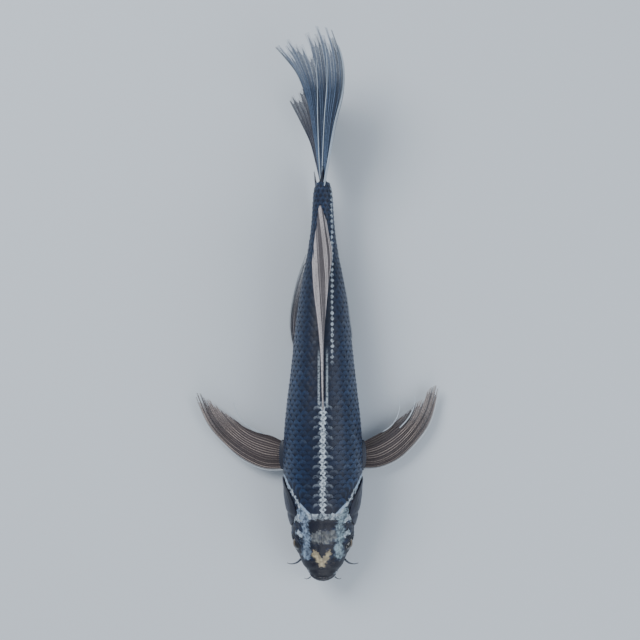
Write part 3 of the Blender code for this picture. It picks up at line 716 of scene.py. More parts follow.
class HeadFinish(Surface):
    """The head's smooth marbled skin: black and slate, with pale bands, a cream blaze and grey plates."""

    def __init__(self) -> None:
        """Make the material."""
        gloss = Gloss(roughness=0.4, coat=0.2, coat_roughness=0.2, specular=0.3, subsurface=0.03)
        super().__init__("head_skin", gloss)
        self.drift(5.2, 0.24)
        grain = self.texture(Texture.NOISE, 1.1, 5.0)
        veins = self.texture(Texture.NOISE, 0.16, 6.0, (1.5, 1.0, 1.0)).step(0.38, 0.56)
        speckle = self.texture(Texture.NOISE, 0.3, 7.0, (1.3, 0.8, 1.0)).step(0.34, 0.6) * (0.3 + veins * 0.7)
        marble = self.texture(Texture.NOISE, 0.22, 4.0)
        upper = self.height.step(30.0, 44.0)
        colour = self.mix(marble.step(0.42, 0.68), COAT.ink, COAT.slate)
        band = self.stroke((18.5, 30), (17.5, 44), 4.6) | self.stroke((17.5, 48), (19, 66), 4.4)
        band = band | self.blotch((20.5, 78), (7.5, 10), 0.3, True) | self.stroke((22, 55), (29, 56), 2.6)
        tint = self.mix(self.x.step(2.0, 20.0) * 0.5, COAT.pale, srgb(160, 184, 180))
        colour = self.mix(band * upper * (0.16 + speckle * 0.7), colour, tint)
        skull = self.blotch((0.5, 52.5), (14.5, 8.0)) | self.blotch((8, 57), (7, 4))
        colour = self.mix(skull * (0.25 + speckle * 0.7), colour, COAT.bone)
        seam = abs(self.x + 1.5).step(0.9, 0.3) * skull * 0.6
        colour = self.mix(seam, colour, COAT.ink)
        crown = self.blotch((-1, 68.5), (15.5, 6.5), 0.3) | self.blotch((-11, 62), (5, 5))
        colour = self.mix(crown * 0.93, colour, COAT.ink)
        rim = self.stroke((-15, 77), (15, 77), 3.2, False) | self.blotch((0, 80), (9, 5))
        colour = self.mix(rim * (0.12 + speckle * 0.75), colour, COAT.white)
        cream = self.stroke((-1, 20), (-9, 35), 3.4, False) | self.stroke((-1, 20), (6.5, 35), 3.2, False)
        cream = cream | self.blotch((-1.5, 25), (5.5, 5))
        colour = self.mix(cream * (0.5 + speckle * 0.5), colour, COAT.cream)
        mark = self.stroke((-1.5, 31), (-1.5, 46), 2.0, False) | self.stroke((-13, 41), (11, 42), 1.9, False)
        colour = self.mix(mark, colour, COAT.ink)
        white = self.stroke((25, 70), (32, 77), 1.5) | self.stroke((27, 77), (33, 70), 1.3)
        white = white | self.stroke((24.5, 53), (27.5, 57), 2.0)
        white = white | self.shoulder_line()
        colour = self.mix(white * upper * (0.35 + speckle * 0.5), colour, COAT.white)
        colour = self.mix(self.blotch((30.5, 43), (4.5, 13), 0.3, True) * upper, colour, COAT.ink)
        snout = self.drift_station.step(27.0, 21.0) * (1.0 - cream)
        colour = self.mix(snout * (0.9 + grain * 0.1), colour, srgb(24, 27, 40))
        corner = self.stroke((13.0, 8.5), (19.0, 13.5), 0.9)
        corner = corner * self.height.step(45.0, 41.0) * self.height.step(32.0, 36.0)
        colour = self.mix(corner * (0.3 + speckle * 0.5), colour, COAT.white)
        under = (self.height + marble * 14.0).step(27.0, 12.0)
        colour = self.mix(under * 0.75, colour, COAT.pale)
        pores = self.texture(Texture.CELLS, 0.55).step(0.16, 0.02)
        relief = grain * 0.16 + marble * 0.3 - pores * 0.08
        self.paint(colour=colour, roughness=0.34 + marble * 0.2, bump=relief)


class CoverFinish(Surface):
    """The gill covers: near black, with a patchy slate sheen that fades upwards."""

    def __init__(self) -> None:
        """Make the material."""
        super().__init__("gill_cover", Gloss(roughness=0.44, coat=0.15, coat_roughness=0.24, specular=0.28))
        grain = self.texture(Texture.NOISE, 1.2, 5.0)
        cloud = self.texture(Texture.NOISE, 0.1, 3.0, (1.0, 0.4, 1.0))
        speckle = self.texture(Texture.NOISE, 0.4, 5.0).step(0.42, 0.6)
        colour = self.mix(cloud.step(0.38, 0.66), COAT.ink, srgb(36, 40, 60))
        sheen = speckle * cloud.step(0.3, 0.6) * self.height.step(66.0, 40.0)
        colour = self.mix(sheen * 0.4, colour, srgb(66, 76, 104))
        colour = self.mix((self.height + grain * 8.0).step(30.0, 16.0) * 0.7, colour, COAT.pale)
        self.paint(colour=colour, roughness=0.3 + grain * 0.2, bump=grain * 0.14 + cloud * 0.2)


@dataclass(frozen=True)
class FinTint:
    """The colours of one kind of fin."""

    root: Row
    tip: Row
    ray: Row
    clear: float  # how much of the film is see-through at its tip
    strip: float = 0.0  # how strong the pale strip along its middle is


class FinKind(Enum):
    """The kinds of fin, by colour."""

    BREAST = FinTint(srgb(50, 43, 50), srgb(58, 60, 76), srgb(176, 162, 156), 0.35)
    TAIL = FinTint(srgb(27, 34, 52), srgb(58, 76, 104), srgb(100, 122, 154), 0.42)
    TAIL_UNDER = FinTint(srgb(28, 28, 42), srgb(44, 46, 62), srgb(74, 82, 104), 0.3)
    DORSAL = FinTint(srgb(56, 52, 62), srgb(94, 90, 104), srgb(216, 208, 210), 0.25, 0.75)
    BELLY = FinTint(srgb(58, 56, 68), srgb(84, 90, 108), srgb(176, 172, 176), 0.4)


class FilmFinish(Surface):
    """The thin film between fin rays: streaked along the rays, and clearer towards its frayed edge."""

    def __init__(self, kind: FinKind, rays: int) -> None:
        """Make the material.

        Args:
            kind: Which fin's colours.
            rays: How many rays cross it.
        """
        gloss = Gloss(roughness=0.4, coat=0.15, coat_roughness=0.3)
        super().__init__(f"fin_film_{kind.name.lower()}_{rays}", gloss)
        tint = kind.value
        across, along = self.uv()
        grain = self.texture(Texture.NOISE, 0.8, 4.0)
        streak = ((across * (rays * math.tau) + grain * 2.4).sine() * 0.5 + 0.5) ** 2.0
        fine = ((across * (4 * rays * math.tau) + grain * 3.0).sine() * 0.5 + 0.5) ** 3.0
        colour = self.mix(along.step(0.2, 1.0), tint.root, tint.tip)
        colour = self.mix(streak * 0.45 * grain.step(0.3, 0.62), colour, COAT.ink)
        colour = self.mix(fine * 0.5, colour, tint.ray)
        if tint.strip:
            strip = across.step(0.38, 0.46) * across.step(0.62, 0.54)
            colour = self.mix(strip * (0.45 + fine * 0.55) * tint.strip, colour, tint.ray)
        edge = along.step(0.45, 1.0)
        self.paint(
            colour=colour,
            roughness=0.38 + grain * 0.2,
            alpha=1.0 - edge * (tint.clear + streak * 0.2) - edge * edge * grain.step(0.42, 0.6) * 0.2,
            bump=fine * 0.12 + streak * 0.1 + grain * 0.08,
        )


class RayFinish(Surface):
    """Fin rays: pale, jointed by fine dark bands, and darker near the root; the leading rays carry a painted
    white highlight.
    """

    def __init__(self, kind: FinKind) -> None:
        """Make the material.

        Args:
            kind: Which fin's colours.
        """
        super().__init__(f"fin_ray_{kind.name.lower()}", Gloss(roughness=0.42, coat=0.15, coat_roughness=0.3))
        tint = kind.value
        chance, share, paleness_and_highlight = self.note("tone")
        joint = (share * 210.0).sine().step(0.75, 0.98)
        grain = self.texture(Texture.NOISE, 0.5, 3.0)
        colour = self.mix(chance.step(0.38, 0.62) * 0.85, tint.ray, tint.root)
        colour = self.mix(share.step(0.0, 0.25), self.mix(0.45, colour, tint.root), colour)
        colour = self.mix(joint * 0.3 + grain.step(0.5, 0.7) * 0.3, colour, tint.root)
        # Painted highlight along the leading rays; the pale rays and the strays are whitened here for their
        # own pale colour.
        colour = self.mix(paleness_and_highlight * 0.9, colour, COAT.white)
        self.paint(colour=colour, roughness=0.36 + grain * 0.2, bump=joint * -0.08 + grain * 0.05)


class EyeFinish(Surface):
    """A wet eye: black pupil, a dark gold ring with fine streaks, and a black outer rim."""

    def __init__(self, side: int) -> None:
        """Make the material.

        Args:
            side: 1 for the left eye and -1 for the right.
        """
        gloss = Gloss(roughness=0.08, coat=1.0, coat_roughness=0.02)
        super().__init__("eye_left" if side > 0 else "eye_right", gloss)
        _, station, height = EYE
        radius = ((self.station - station) ** 2.0 + (self.height - height) ** 2.0) ** 0.5
        outer = (self.x * float(side)).step(25.0, 27.0)
        streak = self.texture(Texture.NOISE, 1.6, 4.0)
        gold = self.mix(streak.step(0.3, 0.7), srgb(28, 22, 14), srgb(120, 92, 46))
        colour = self.mix(radius.step(2.9, 3.3), srgb(4, 4, 6), gold)
        colour = self.mix(radius.step(5.0, 6.0), colour, srgb(12, 14, 20))
        colour = self.mix(outer, srgb(60, 60, 66), colour)
        self.paint(colour=colour, roughness=0.06 + streak * 0.05, bump=streak * 0.02)


class FleshFinish(Surface):
    """Soft moist flesh: lips, whiskers, the mouth's lining and the gills."""

    def __init__(self, name: str, dark: Row, light: Row, scale: float = 0.3, local: bool = True) -> None:
        """Make the material.

        Args:
            name: Its name.
            dark: Its darker colour.
            light: Its lighter colour.
            scale: Size of its mottling, in patches a millimetre.
            local: As for Surface.
        """
        super().__init__(name, Gloss(roughness=0.38, coat=0.35, coat_roughness=0.2, subsurface=0.08), local)
        mottle = self.texture(Texture.NOISE, scale, 4.0)
        fine = self.texture(Texture.NOISE, scale * 5, 3.0)
        colour = self.mix(mottle.step(0.35, 0.7), dark, light)
        self.paint(colour=colour, roughness=0.3 + fine * 0.2, bump=fine * 0.15 + mottle * 0.2)


class HardFinish(Surface):
    """The hidden frame's bone and steel, with grain and rubbed marks."""

    def __init__(self, name: str, dark: Row, light: Row, gloss: Gloss, stretch: Row = (1, 1, 1)) -> None:
        """Make the material.

        Args:
            name: Its name.
            dark: The colour in its hollows.
            light: Its main colour.
            gloss: Its constant values.
            stretch: How the grain is drawn out along each axis.
        """
        super().__init__(name, gloss, local=False)
        grain = self.texture(Texture.NOISE, 0.8, 5.0, stretch)
        wear = self.texture(Texture.NOISE, 0.12, 3.0)
        colour = self.mix(grain.step(0.3, 0.65), dark, light)
        colour = self.mix(wear.step(0.55, 0.8) * 0.25, colour, dark)
        self.paint(colour=colour, roughness=gloss.roughness + (wear - 0.5) * 0.2, bump=grain * 0.06)


# ---------------------------------------------------------------- the trunk


@dataclass(frozen=True)
class Span:
    """A length of trunk that spans one joint of the spine."""

    name: str
    start: float
    end: float
    bodies: tuple[str, str]
    bend: tuple[float, float]
    columns: int  # scales round it
    replaced: tuple[str, ...]

    def fix(self, piece: bpy.types.Object) -> None:
        """Bake a finished piece's place into its mesh."""
        start, end = (tuple(place(0, station, SPINE_HEIGHT)) for station in self.bend)
        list(self.bodies)
        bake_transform(piece)


@dataclass
class Trunk:
    """The trunk's continuous skin and its rows of overlapping scales."""

    skin_columns: int = 96
    skin_pitch: float = 2.6
    hollow: float = 12.0  # how far the end of the tail root is drawn in at mid height
    first_ring: float = 80.5
    last_ring: float = 437.5
    ring_step: float = 5.3
    scale_length: float = 12.2
    scale_width: float = 1.16  # as a share of the space for one scale
    tip_lift: float = 1.15
    rim: float = 0.45
    spans: tuple[Span, ...] = (
        Span("trunk", 118, 262, ("front", "mid"), (140, 232), 26, ("front_skin", "mid_skin")),
        Span("loin", 262, 358, ("mid", "rear"), (312, 358), 22, ("rear_skin",)),
        Span("tail_stem", 358, 404, ("rear", "stem"), (358, 402), 18, ("stem_skin",)),
        Span("tail_root", 404, 457, ("stem", "tail"), (410, 438), 14, ()),
    )

    def hide(self, span: Span, surface: Surface) -> bpy.types.Object:
        """Make the skin below the scales of one span.

        Args:
            span: The length of trunk.
            surface: Its finish.

        Returns:
            The piece.
        """
        rows = round((span.end - span.start) / self.skin_pitch)
        closing = span is self.spans[-1]

        def where(u: float, v: float) -> Vector:
            """Place a point of the skin, drawn in at the very end of the tail."""
            station = span.start + (span.end - span.start) * v
            degrees = 360 * u - 90
            point = BODY.point(station, degrees, -0.6 * ease(station, 450.0, 457.0) * closing)
            inward = (1.0 - abs(math.sin(math.radians(degrees)))) ** 0.7 * ease(station, 432.0, 457.0)
            point.y -= self.hollow * MM * inward * closing
            return point

        bm = Bench.grid(self.skin_columns, rows, where, closed=True)
        Bench.turn_out(bm, lambda face: face.normal.x * math.copysign(1.0, face.calc_center_median().x))
        piece = Bench.finish(f"{span.name}_skin", bm, surface, "skin", wall=1.0)
        if span.replaced:
            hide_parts(*span.replaced)
        span.fix(piece)
        return piece

    def skipped(self, station: float, degrees: float) -> bool:
        """Tell whether a scale there would cover the head, a gill opening, or the root of a breast fin."""
        x, _, height = measures(BODY.point(station, degrees))
        x = abs(x)
        on_head = station < 84 + max(0.0, x - 15.0) * 1.32
        under_cover = station < 124 and (height < 40 or (height < 46 and x > 6))
        on_fin_root = x > 24 and 119 < station < 153 and height < 25
        return on_head or under_cover or on_fin_root

    def tone(self, ring: int, turn: float, station: float, column: int) -> tuple[float, float, float]:
        """Choose a scale's look.

        Args:
            ring: Which ring of scales it is in.
            turn: Degrees from the back.
            station: Where the ring is.
            column: Its place in the ring.

        Returns:
            Its chance shade, how strong the painted highlight on its rim is, and whether it has a pore of the
            side line.
        """
        chance = 0.5 + 0.5 * wobble(ring * 1.7, column * 3.1)
        pale = 0.0
        # the painted rim highlight is strongest on the scales along the back, before the dorsal fin
        if station < 200:
            pale = 0.5 * (abs(turn) < 4) + (0.2 + 0.3 * chance) * (4 <= abs(turn) < 10)
        pale += 0.25 * max(0.0, wobble(ring * 0.9 + 50, column * 1.3) - 0.25)
        pore = 1.0 if station > 120 and abs(abs(turn) - 96) < 360 / 52 else 0.0
        return chance, min(pale, 1.0), pore

    def scale(
        self, station: float, turn: float, share: float, length: float, lift: float, sway: float
    ) -> bmesh.types.BMesh:
        """Shape one scale, with a UV map that follows its rounded tip.

        Args:
            station: Its middle.
            turn: Degrees from the back.
            share: Degrees of the ring that are its own.
            length: From its root to its tip.
            lift: How far its tip stands off the skin.
            sway: How far its tip is drawn back.

        Returns:
            Its mesh.
        """

        def spot(u: float, v: float) -> tuple[float, float]:
            """Return how far across and along the scale a point of the grid lies."""
            across = math.sin((u - 0.5) * math.pi)
            return across, min(v / 0.8, 1.0) * (0.5 + 0.5 * math.sqrt(max(0.0, 1 - across * across)))

        def where(u: float, v: float) -> Vector:
            """Place a point of the scale, whose last row is its rim."""
            across, along = spot(u, v)
            spread = across * (0.5 + 0.5 * ease(along, -0.2, 0.35)) * self.scale_width / 2
            rise = 0.12 + lift * along - self.rim * (v > 0.99) - 0.22 * across * across
            at = station + (along - 0.5) * length + sway * along
            return BODY.point(at, 90 + turn + spread * share, max(rise, 0.05))

        bm = Bench.grid(6, 5, where)
        uv = bm.loops.layers.uv["surface"]
        for face in bm.faces:
            for loop in face.loops:
                across, along = spot(*loop[uv].uv)
                loop[uv].uv = (0.5 + across / 2, along)
        return bm

    def scales(self, span: Span, surface: Surface) -> bpy.types.Object:
        """Lay the scales of one span, each over the one behind it.

        Args:
            span: The length of trunk.
            surface: Their finish.

        Returns:
            All of them as one piece.
        """
        everything = Bench.toned()
        first = 0.0 if span is self.spans[0] else span.start
        last = self.last_ring if span is self.spans[-1] else span.end
        share = 360.0 / span.columns
        for ring in range(int((self.last_ring - self.first_ring) / self.ring_step) + 1):
            station = self.first_ring + ring * self.ring_step
            if not first <= station < last:
                continue
            length = self.scale_length * (0.62 + 0.38 * ease(station, 440, 330))
            for column in range(span.columns):
                turn = ((column + 0.5 * (ring % 2)) * share + 180) % 360 - 180
                if self.skipped(station, 90 + turn):
                    continue
                lift = self.tip_lift * (0.9 + 0.25 * wobble(ring * 3.3, column * 2.7))
                sway = 0.7 * wobble(ring * 5.1 + 9, column * 1.9)
                scale = self.scale(station, turn, share, length, lift, sway)
                mark = scale.verts.layers.float_vector.new("tone")
                look = self.tone(ring, turn, station, column)
                for vert in scale.verts:
                    vert[mark] = look
                Bench.gather(everything, scale)
        everything.faces.ensure_lookup_table()
        probe = everything.faces[0]
        probe.normal_update()
        middle = probe.calc_center_median()
        if probe.normal.dot(middle - place(0, measures(middle).y, 50)) < 0:
            bmesh.ops.reverse_faces(everything, faces=everything.faces)
        piece = Bench.finish(f"{span.name}_scales", everything, surface, "skin", 50)
        span.fix(piece)
        return piece

    def build(self) -> None:
        """Make every span's skin and scales."""
        hide, scaled = HideFinish(), ScaleFinish()
        for span in self.spans:
            self.hide(span, hide)
            self.scales(span, scaled)


# ---------------------------------------------------------------- the head


def side_point(station: float, height: float, side: int, lift: float = 0.0) -> Vector:
    """Find the skin's point at a station and height on one side.

    Args:
        station: Distance behind the snout.
        height: Distance above the floor.
        side: 1 for the fish's left and -1 for its right.
        lift: Distance out of the skin, in millimetres.

    Returns:
        The point in metres.
    """
    half, back, belly = (BODY.value(station, column) for column in (1, 2, 3))
    middle = belly + BODY.waist * (back - belly)
    rise = back - middle if height > middle else middle - belly
    sine = min(abs(height - middle) / rise, 1.0) ** (1 / BODY.fullness)
    x = half * (1 - sine * sine) ** (BODY.fullness / 2) + lift
    return place(side * x, station, height)


@dataclass
class Head:
    """The head's skin, mouth, eyes, whiskers and gill covers."""

    start: float = 4.9
    end: float = 118.0
    jaw_back: float = 39.0
    jaw_half: float = 64.0  # degrees either side of straight down
    lip: float = 3.5
    eye_radius: float = 8.2
    gill: tuple[float, float] = (89.0, 43.0)
    gill_radii: tuple[float, float] = (26.0, 28.0)
    barbel: tuple[Row, ...] = (
        (24.6, 22.5, 27.6),
        (28, 19, 25),
        (32, 17, 22),
        (36, 16.2, 19.3),
        (40, 17, 17.5),
    )
    lip_barbel: tuple[Row, ...] = ((13.6, 4.4, 35.2), (16, 2.4, 34), (18.5, 1.6, 32.4), (20.6, 2.2, 30.4))

    def relief(self, station: float, degrees: float) -> float:
        """Return how far the head's skin stands out of the plain body form, in millimetres."""
        x, _, height = measures(BODY.point(station, degrees))
        x = abs(x)

        def hill(along: float, up: float, wide: float, tall: float) -> float:
            """Return a soft hill of height 1."""
            return math.exp(-((along / wide) ** 2) - (up / tall) ** 2)

        orbit = math.hypot(station - EYE[1], height - EYE[2])
        lift = 0.0
        if x > 14:
            lift += 1.3 * math.exp(-(((orbit - 10.2) / 2.6) ** 2)) - 1.4 * math.exp(-((orbit / 6.0) ** 2))
            lift += 1.1 * hill(station - 52, height - 28, 12, 9)
        if height > 34:
            front, back = hill(station - 22.5, x - 10.5, 2.0, 2.2), hill(station - 27.5, x - 12.0, 1.6, 2.4)
            lift += 0.9 * hill(station - 25.0, x - 11.0, 1.0, 3.2) - 1.3 * front - 0.9 * back
            lift -= 0.5 * hill(station - 60, x, 16, 1.6) + 0.4 * hill(station - 33, x - 6, 12, 2)
            lift += 0.7 * hill(station - 74.5, 0, 2.6, 9)
        lift -= 1.0 * hill(station - 13.5, 0, 2.2, 9)
        lift -= 0.8 * hill(station - 62, 0, 2.0, 9) * (x > 26)
        return lift + 0.25 * noise.noise(Vector((x * 0.16, station * 0.16, height * 0.16)))

    def skin(self) -> None:
        """Make the head's skin, open at the jaw, and at the gills."""
        low, high = -90 + self.jaw_half, 270 - self.jaw_half
        top_columns, jaw_columns, rows = 132, 36, 86

        def turn(u: float) -> float:
            """Return the degrees at a share of the way round, with the jaw's edges on a column."""
            at = u * (top_columns + jaw_columns)
            if at <= top_columns:
                return low + (high - low) * at / top_columns
            return high + (360 - high + low) * (at - top_columns) / jaw_columns

        def where(u: float, v: float) -> Vector:
            """Place a point of the head's skin."""
            station = self.start + (self.end - self.start) * v
            degrees = turn(u)
            return BODY.point(station, degrees, self.relief(station, degrees) * ease(station, 118, 108))

        bm = Bench.grid(top_columns + jaw_columns, rows, where, closed=True)
        throat = []
        for face in bm.faces:
            middle = face.calc_center_median()
            station = measures(middle).y
            edge = BODY.point(station, low)
            if station < self.jaw_back and middle.z < edge.z and abs(middle.x) < abs(edge.x) + 1e-5:
                throat.append(face)
        bmesh.ops.delete(bm, geom=throat, context="FACES")
        for side in SIDES.values():
            Bench.oval_hole(bm, side, self.gill, self.gill_radii)
        Bench.turn_out(bm, lambda face: face.normal.z * (face.calc_center_median().z > 0.05))
        surface = HeadFinish()
        piece = Bench.finish("head", bm, surface, "head", wall=1.2)
        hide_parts("head_shell")
        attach(piece, "front")
        self.jaw(surface)

    def jaw(self, surface: Surface) -> None:
        """Make the lower jaw, which fills the gap below the mouth."""
        low, high = -90 - self.jaw_half + 1.5, -90 + self.jaw_half - 1.5

        def where(u: float, v: float) -> Vector:
            """Place a point of the jaw, with a groove each side of the chin."""
            station = self.start + (self.jaw_back - 1.2 - self.start) * v
            degrees = low + (high - low) * u
            chin = 0.9 * math.exp(-(((station - 15) / 7) ** 2)) * math.exp(-(((degrees + 90) / 24) ** 2))
            groove = 0.8 * math.exp(-(((abs(degrees + 90) - 38) / 6) ** 2)) * ease(station, 8, 14)
            return BODY.point(station, degrees, chin - groove)

        bm = Bench.grid(48, 28, where)
        Bench.turn_out(bm, lambda face: -face.normal.z)
        piece = Bench.finish("jaw", bm, surface, "head", wall=1.6)
        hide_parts("lower_jaw")
        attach(piece, "jaw")

    def lips(self) -> None:
        """Make the two lips, which thin out towards the corners of the mouth."""
        surface = FleshFinish("lips", srgb(20, 23, 34), srgb(40, 44, 58))
        for name, node, body, first, last, sag in (
            ("upper_lip_roll", "upper_lip", "front", -6, 186, 0.5),
            ("lower_lip_roll", "lower_lip", "jaw", -26, -154, -0.9),
        ):
            path, radii = [], []
            for i in range(33):
                share = i / 32
                degrees = first + (last - first) * share
                swept = 4.2 * abs(math.cos(math.radians(degrees))) ** 3
                point = BODY.point(3.9 + swept + 0.4 * wobble(share * 3.0), degrees, -2.3)
                path.append(point + Vector((0, 0, sag * MM)))
                full = math.sin(math.pi * share) ** 0.45
                radii.append(self.lip * (0.45 + 0.55 * full) * (1 + 0.06 * wobble(share * 9.0, 2)))
            bm = Bench.tube(path, radii, 14)
            piece = Bench.finish(name, bm, surface, "lip")
            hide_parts(node)
            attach(piece, body)

    def mouth(self) -> None:
        """Make the mouth's lining, a closed throat behind the lips."""

        def where(u: float, v: float) -> Vector:
            """Place a point of the lining, which closes at its back."""
            station = 7.0 + 30.0 * ease(v, 0, 0.85)
            inset = 2.9 + 6.0 * v + 18.0 * ease(v, 0.72, 1.0)
            full = 1.0 - ease(v, 0.8, 1.0) * 0.999
            middle = place(0, station, 0.52 * (BODY.value(station, 2) + BODY.value(station, 3)))
            return middle + (BODY.point(station, 360 * u - 90, -min(inset, 9.0)) - middle) * full

        bm = Bench.grid(40, 16, where, closed=True)
        bmesh.ops.recalc_face_normals(bm, faces=bm.faces)
        flesh = FleshFinish("mouth", srgb(70, 34, 38), srgb(140, 84, 84))
        piece = Bench.finish("mouth_lining", bm, flesh, "gills", wall=0.5)
        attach(piece, "front")

    def eyes(self) -> None:
        """Make each eye, with a bulging cornea, and the rolled lid round it."""
        lid_finish = HideFinish("eyelid", srgb(22, 28, 40))
        x, station, height = EYE
        for word, side in SIDES.items():
            centre = place(side * x, station, height)
            bm = bmesh.new()
            bmesh.ops.create_uvsphere(bm, u_segments=40, v_segments=24, radius=self.eye_radius * MM)
            bmesh.ops.rotate(bm, verts=bm.verts, cent=(0, 0, 0), matrix=Matrix.Rotation(math.pi / 2, 3, "Y"))
            for vert in bm.verts:
                out = vert.co.x * side / (self.eye_radius * MM)
                vert.co *= 1.0 + 0.035 * ease(out, 0.6, 0.95)
            bmesh.ops.translate(bm, verts=bm.verts, vec=centre)
            piece = Bench.finish(f"eyeball_{word}", bm, EyeFinish(side), "eye", 180)
            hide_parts(f"eye_{word}")
            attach(piece, f"eyeball_{word}")

            def where(u: float, v: float) -> Vector:
                """Place a point of the lid, a soft roll round the eye."""
                turn, roll = 2 * math.pi * u, 2 * math.pi * v
                reach = 7.9 + 1.35 * math.cos(roll)
                along, up = reach * math.cos(turn), reach * 0.97 * math.sin(turn)
                at = side_point(station + along, height + up, side)
                return at + Vector((side * (0.7 + 1.15 * math.sin(roll)) * MM, 0, 0))

            bm = Bench.grid(48, 10, where, closed=True)
            bmesh.ops.recalc_face_normals(bm, faces=bm.faces)
            piece = Bench.finish(f"eyelid_{word}", bm, lid_finish, "head", 180)
            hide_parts(f"eye_ring_{word}")
            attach(piece, "front")

    def whiskers(self) -> None:
        """Make the long whiskers at the corners of the mouth and the short ones on the upper lip."""
        surface = FleshFinish("whisker", srgb(20, 24, 34), srgb(70, 80, 100), 0.6)
        for word, side in SIDES.items():
            for name, points, thick, node, body in (
                (f"whisker_{word}", self.barbel, 1.35, f"barbel_{word}", f"whisker_{word}"),
                (f"lip_whisker_{word}", self.lip_barbel, 0.75, f"lip_barbel_{word}", "front"),
            ):
                line = [Vector((side * x, station, height)) for x, station, height in points]
                shares = [i / 20 for i in range(21)]
                path = [place(*curve_at(line, share)) for share in shares]
                radii = [thick * (1 - 0.78 * share**0.8) for share in shares]
                piece = Bench.finish(name, Bench.tube(path, radii, 10), surface, "lip", 180)
                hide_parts(node)
                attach(piece, body)

    def feathers(self, side: int) -> bmesh.types.BMesh:
        """Shape the four gill arches of one side, each with a fringe behind it."""
        station, height = self.gill
        steps = 18
        bm = bmesh.new()
        for arch in range(4):
            path = []
            for i in range(steps + 1):
                bow = 4.0 * math.sin(math.pi * i / steps)
                behind, up = 7.6 * arch - 13 + bow, 34 * i / steps - 17
                path.append(side_point(station + behind, height + up, side, -9.5))
            Bench.gather(bm, Bench.tube(path, [1.1] * len(path), 8))
            for i in range(1, steps):
                for half in (0, 1):
                    foot = path[i] + (path[i + 1] - path[i]) * half / 2
                    tip = foot + Vector((side * 0.8, 5.4, 0.6)) * MM
                    Bench.gather(bm, Bench.tube([foot, (foot + tip) / 2, tip], [0.55, 0.5, 0.16], 5))
        return bm

    def gills(self) -> None:
        """Make the gill covers, the chambers below them and the feathered gills inside."""
        cover_finish = CoverFinish()
        lining = FleshFinish("gill_chamber", srgb(60, 24, 28), srgb(120, 52, 52))
        red = FleshFinish("gill_feathers", srgb(110, 16, 20), srgb(190, 50, 48), 0.9)
        station, height = self.gill
        along, tall = self.gill_radii
        for word, side in SIDES.items():

            def dome(u: float, v: float) -> Vector:
                """Place a point of the cover: domed, creased in front, and turned in at its rim."""
                turn = 2 * math.pi * u
                free = ease(math.cos(turn), -0.1, 0.6)
                reach = v * (0.985 + 0.07 * free)
                ahead, up = math.cos(turn) * reach, math.sin(turn) * reach
                lift = 1.5 * (1 - min(reach, 1.0) ** 2.4) + 0.25 + 1.25 * free * ease(reach, 0.62, 1.0)
                lift -= 0.9 * math.exp(-(((ahead + 0.42 + 0.25 * up * up) / 0.09) ** 2))
                fan = math.atan2(up - 0.75, ahead + 0.8)
                lift += 0.16 * math.sin(fan * 34) * reach * (1 - reach) * 4 * ease(ahead, -0.3, 0.0)
                return side_point(station + along * ahead, height + tall * up, side, lift)

            bm = Bench.grid(96, 26, dome, closed=True)
            Bench.turn_out(bm, lambda face: face.normal.x * side)
            piece = Bench.finish(f"gill_door_{word}", bm, cover_finish, "gill_cover", wall=1.1)
            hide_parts(f"gill_cover_{word}")
            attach(piece, f"gill_{word}")

            def chamber(u: float, v: float) -> Vector:
                """Place a point of the chamber: a collar, then a shallow closed back."""
                turn = 2 * math.pi * u
                reach = 1.01 if v < 0.4 else 1.01 * (1 - (v - 0.4) / 0.6)
                depth = 0.4 + 14.0 * ease(v, 0.0, 0.5)
                behind, up = along * reach * math.cos(turn), tall * reach * math.sin(turn)
                at = side_point(station + behind, height + up, side)
                return at - Vector((side * depth * MM, 0, 0))

            bm = Bench.grid(64, 20, chamber, closed=True)
            bmesh.ops.recalc_face_normals(bm, faces=bm.faces)
            piece = Bench.finish(f"gill_chamber_{word}", bm, lining, "gills", wall=0.5)
            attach(piece, "front")

            piece = Bench.finish(f"gill_feathers_{word}", self.feathers(side), red, "gills")
            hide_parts(f"gill_arches_{word}")
            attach(piece, "front")

    def build(self) -> None:
        """Make the whole head."""
        self.skin()
        self.lips()
        self.mouth()
        self.eyes()
        self.whiskers()
        self.gills()


# ---------------------------------------------------------------- the fins


# each generation of a ray's branches: where along the ray it starts and ends, and how far aside each grows
FORKS = (
    (0.0, 0.46, (0.0,)),
    (0.44, 0.76, (-1.0, 1.0)),
    (0.74, 1.0, (-1.5, -0.55, 0.55, 1.5)),
)


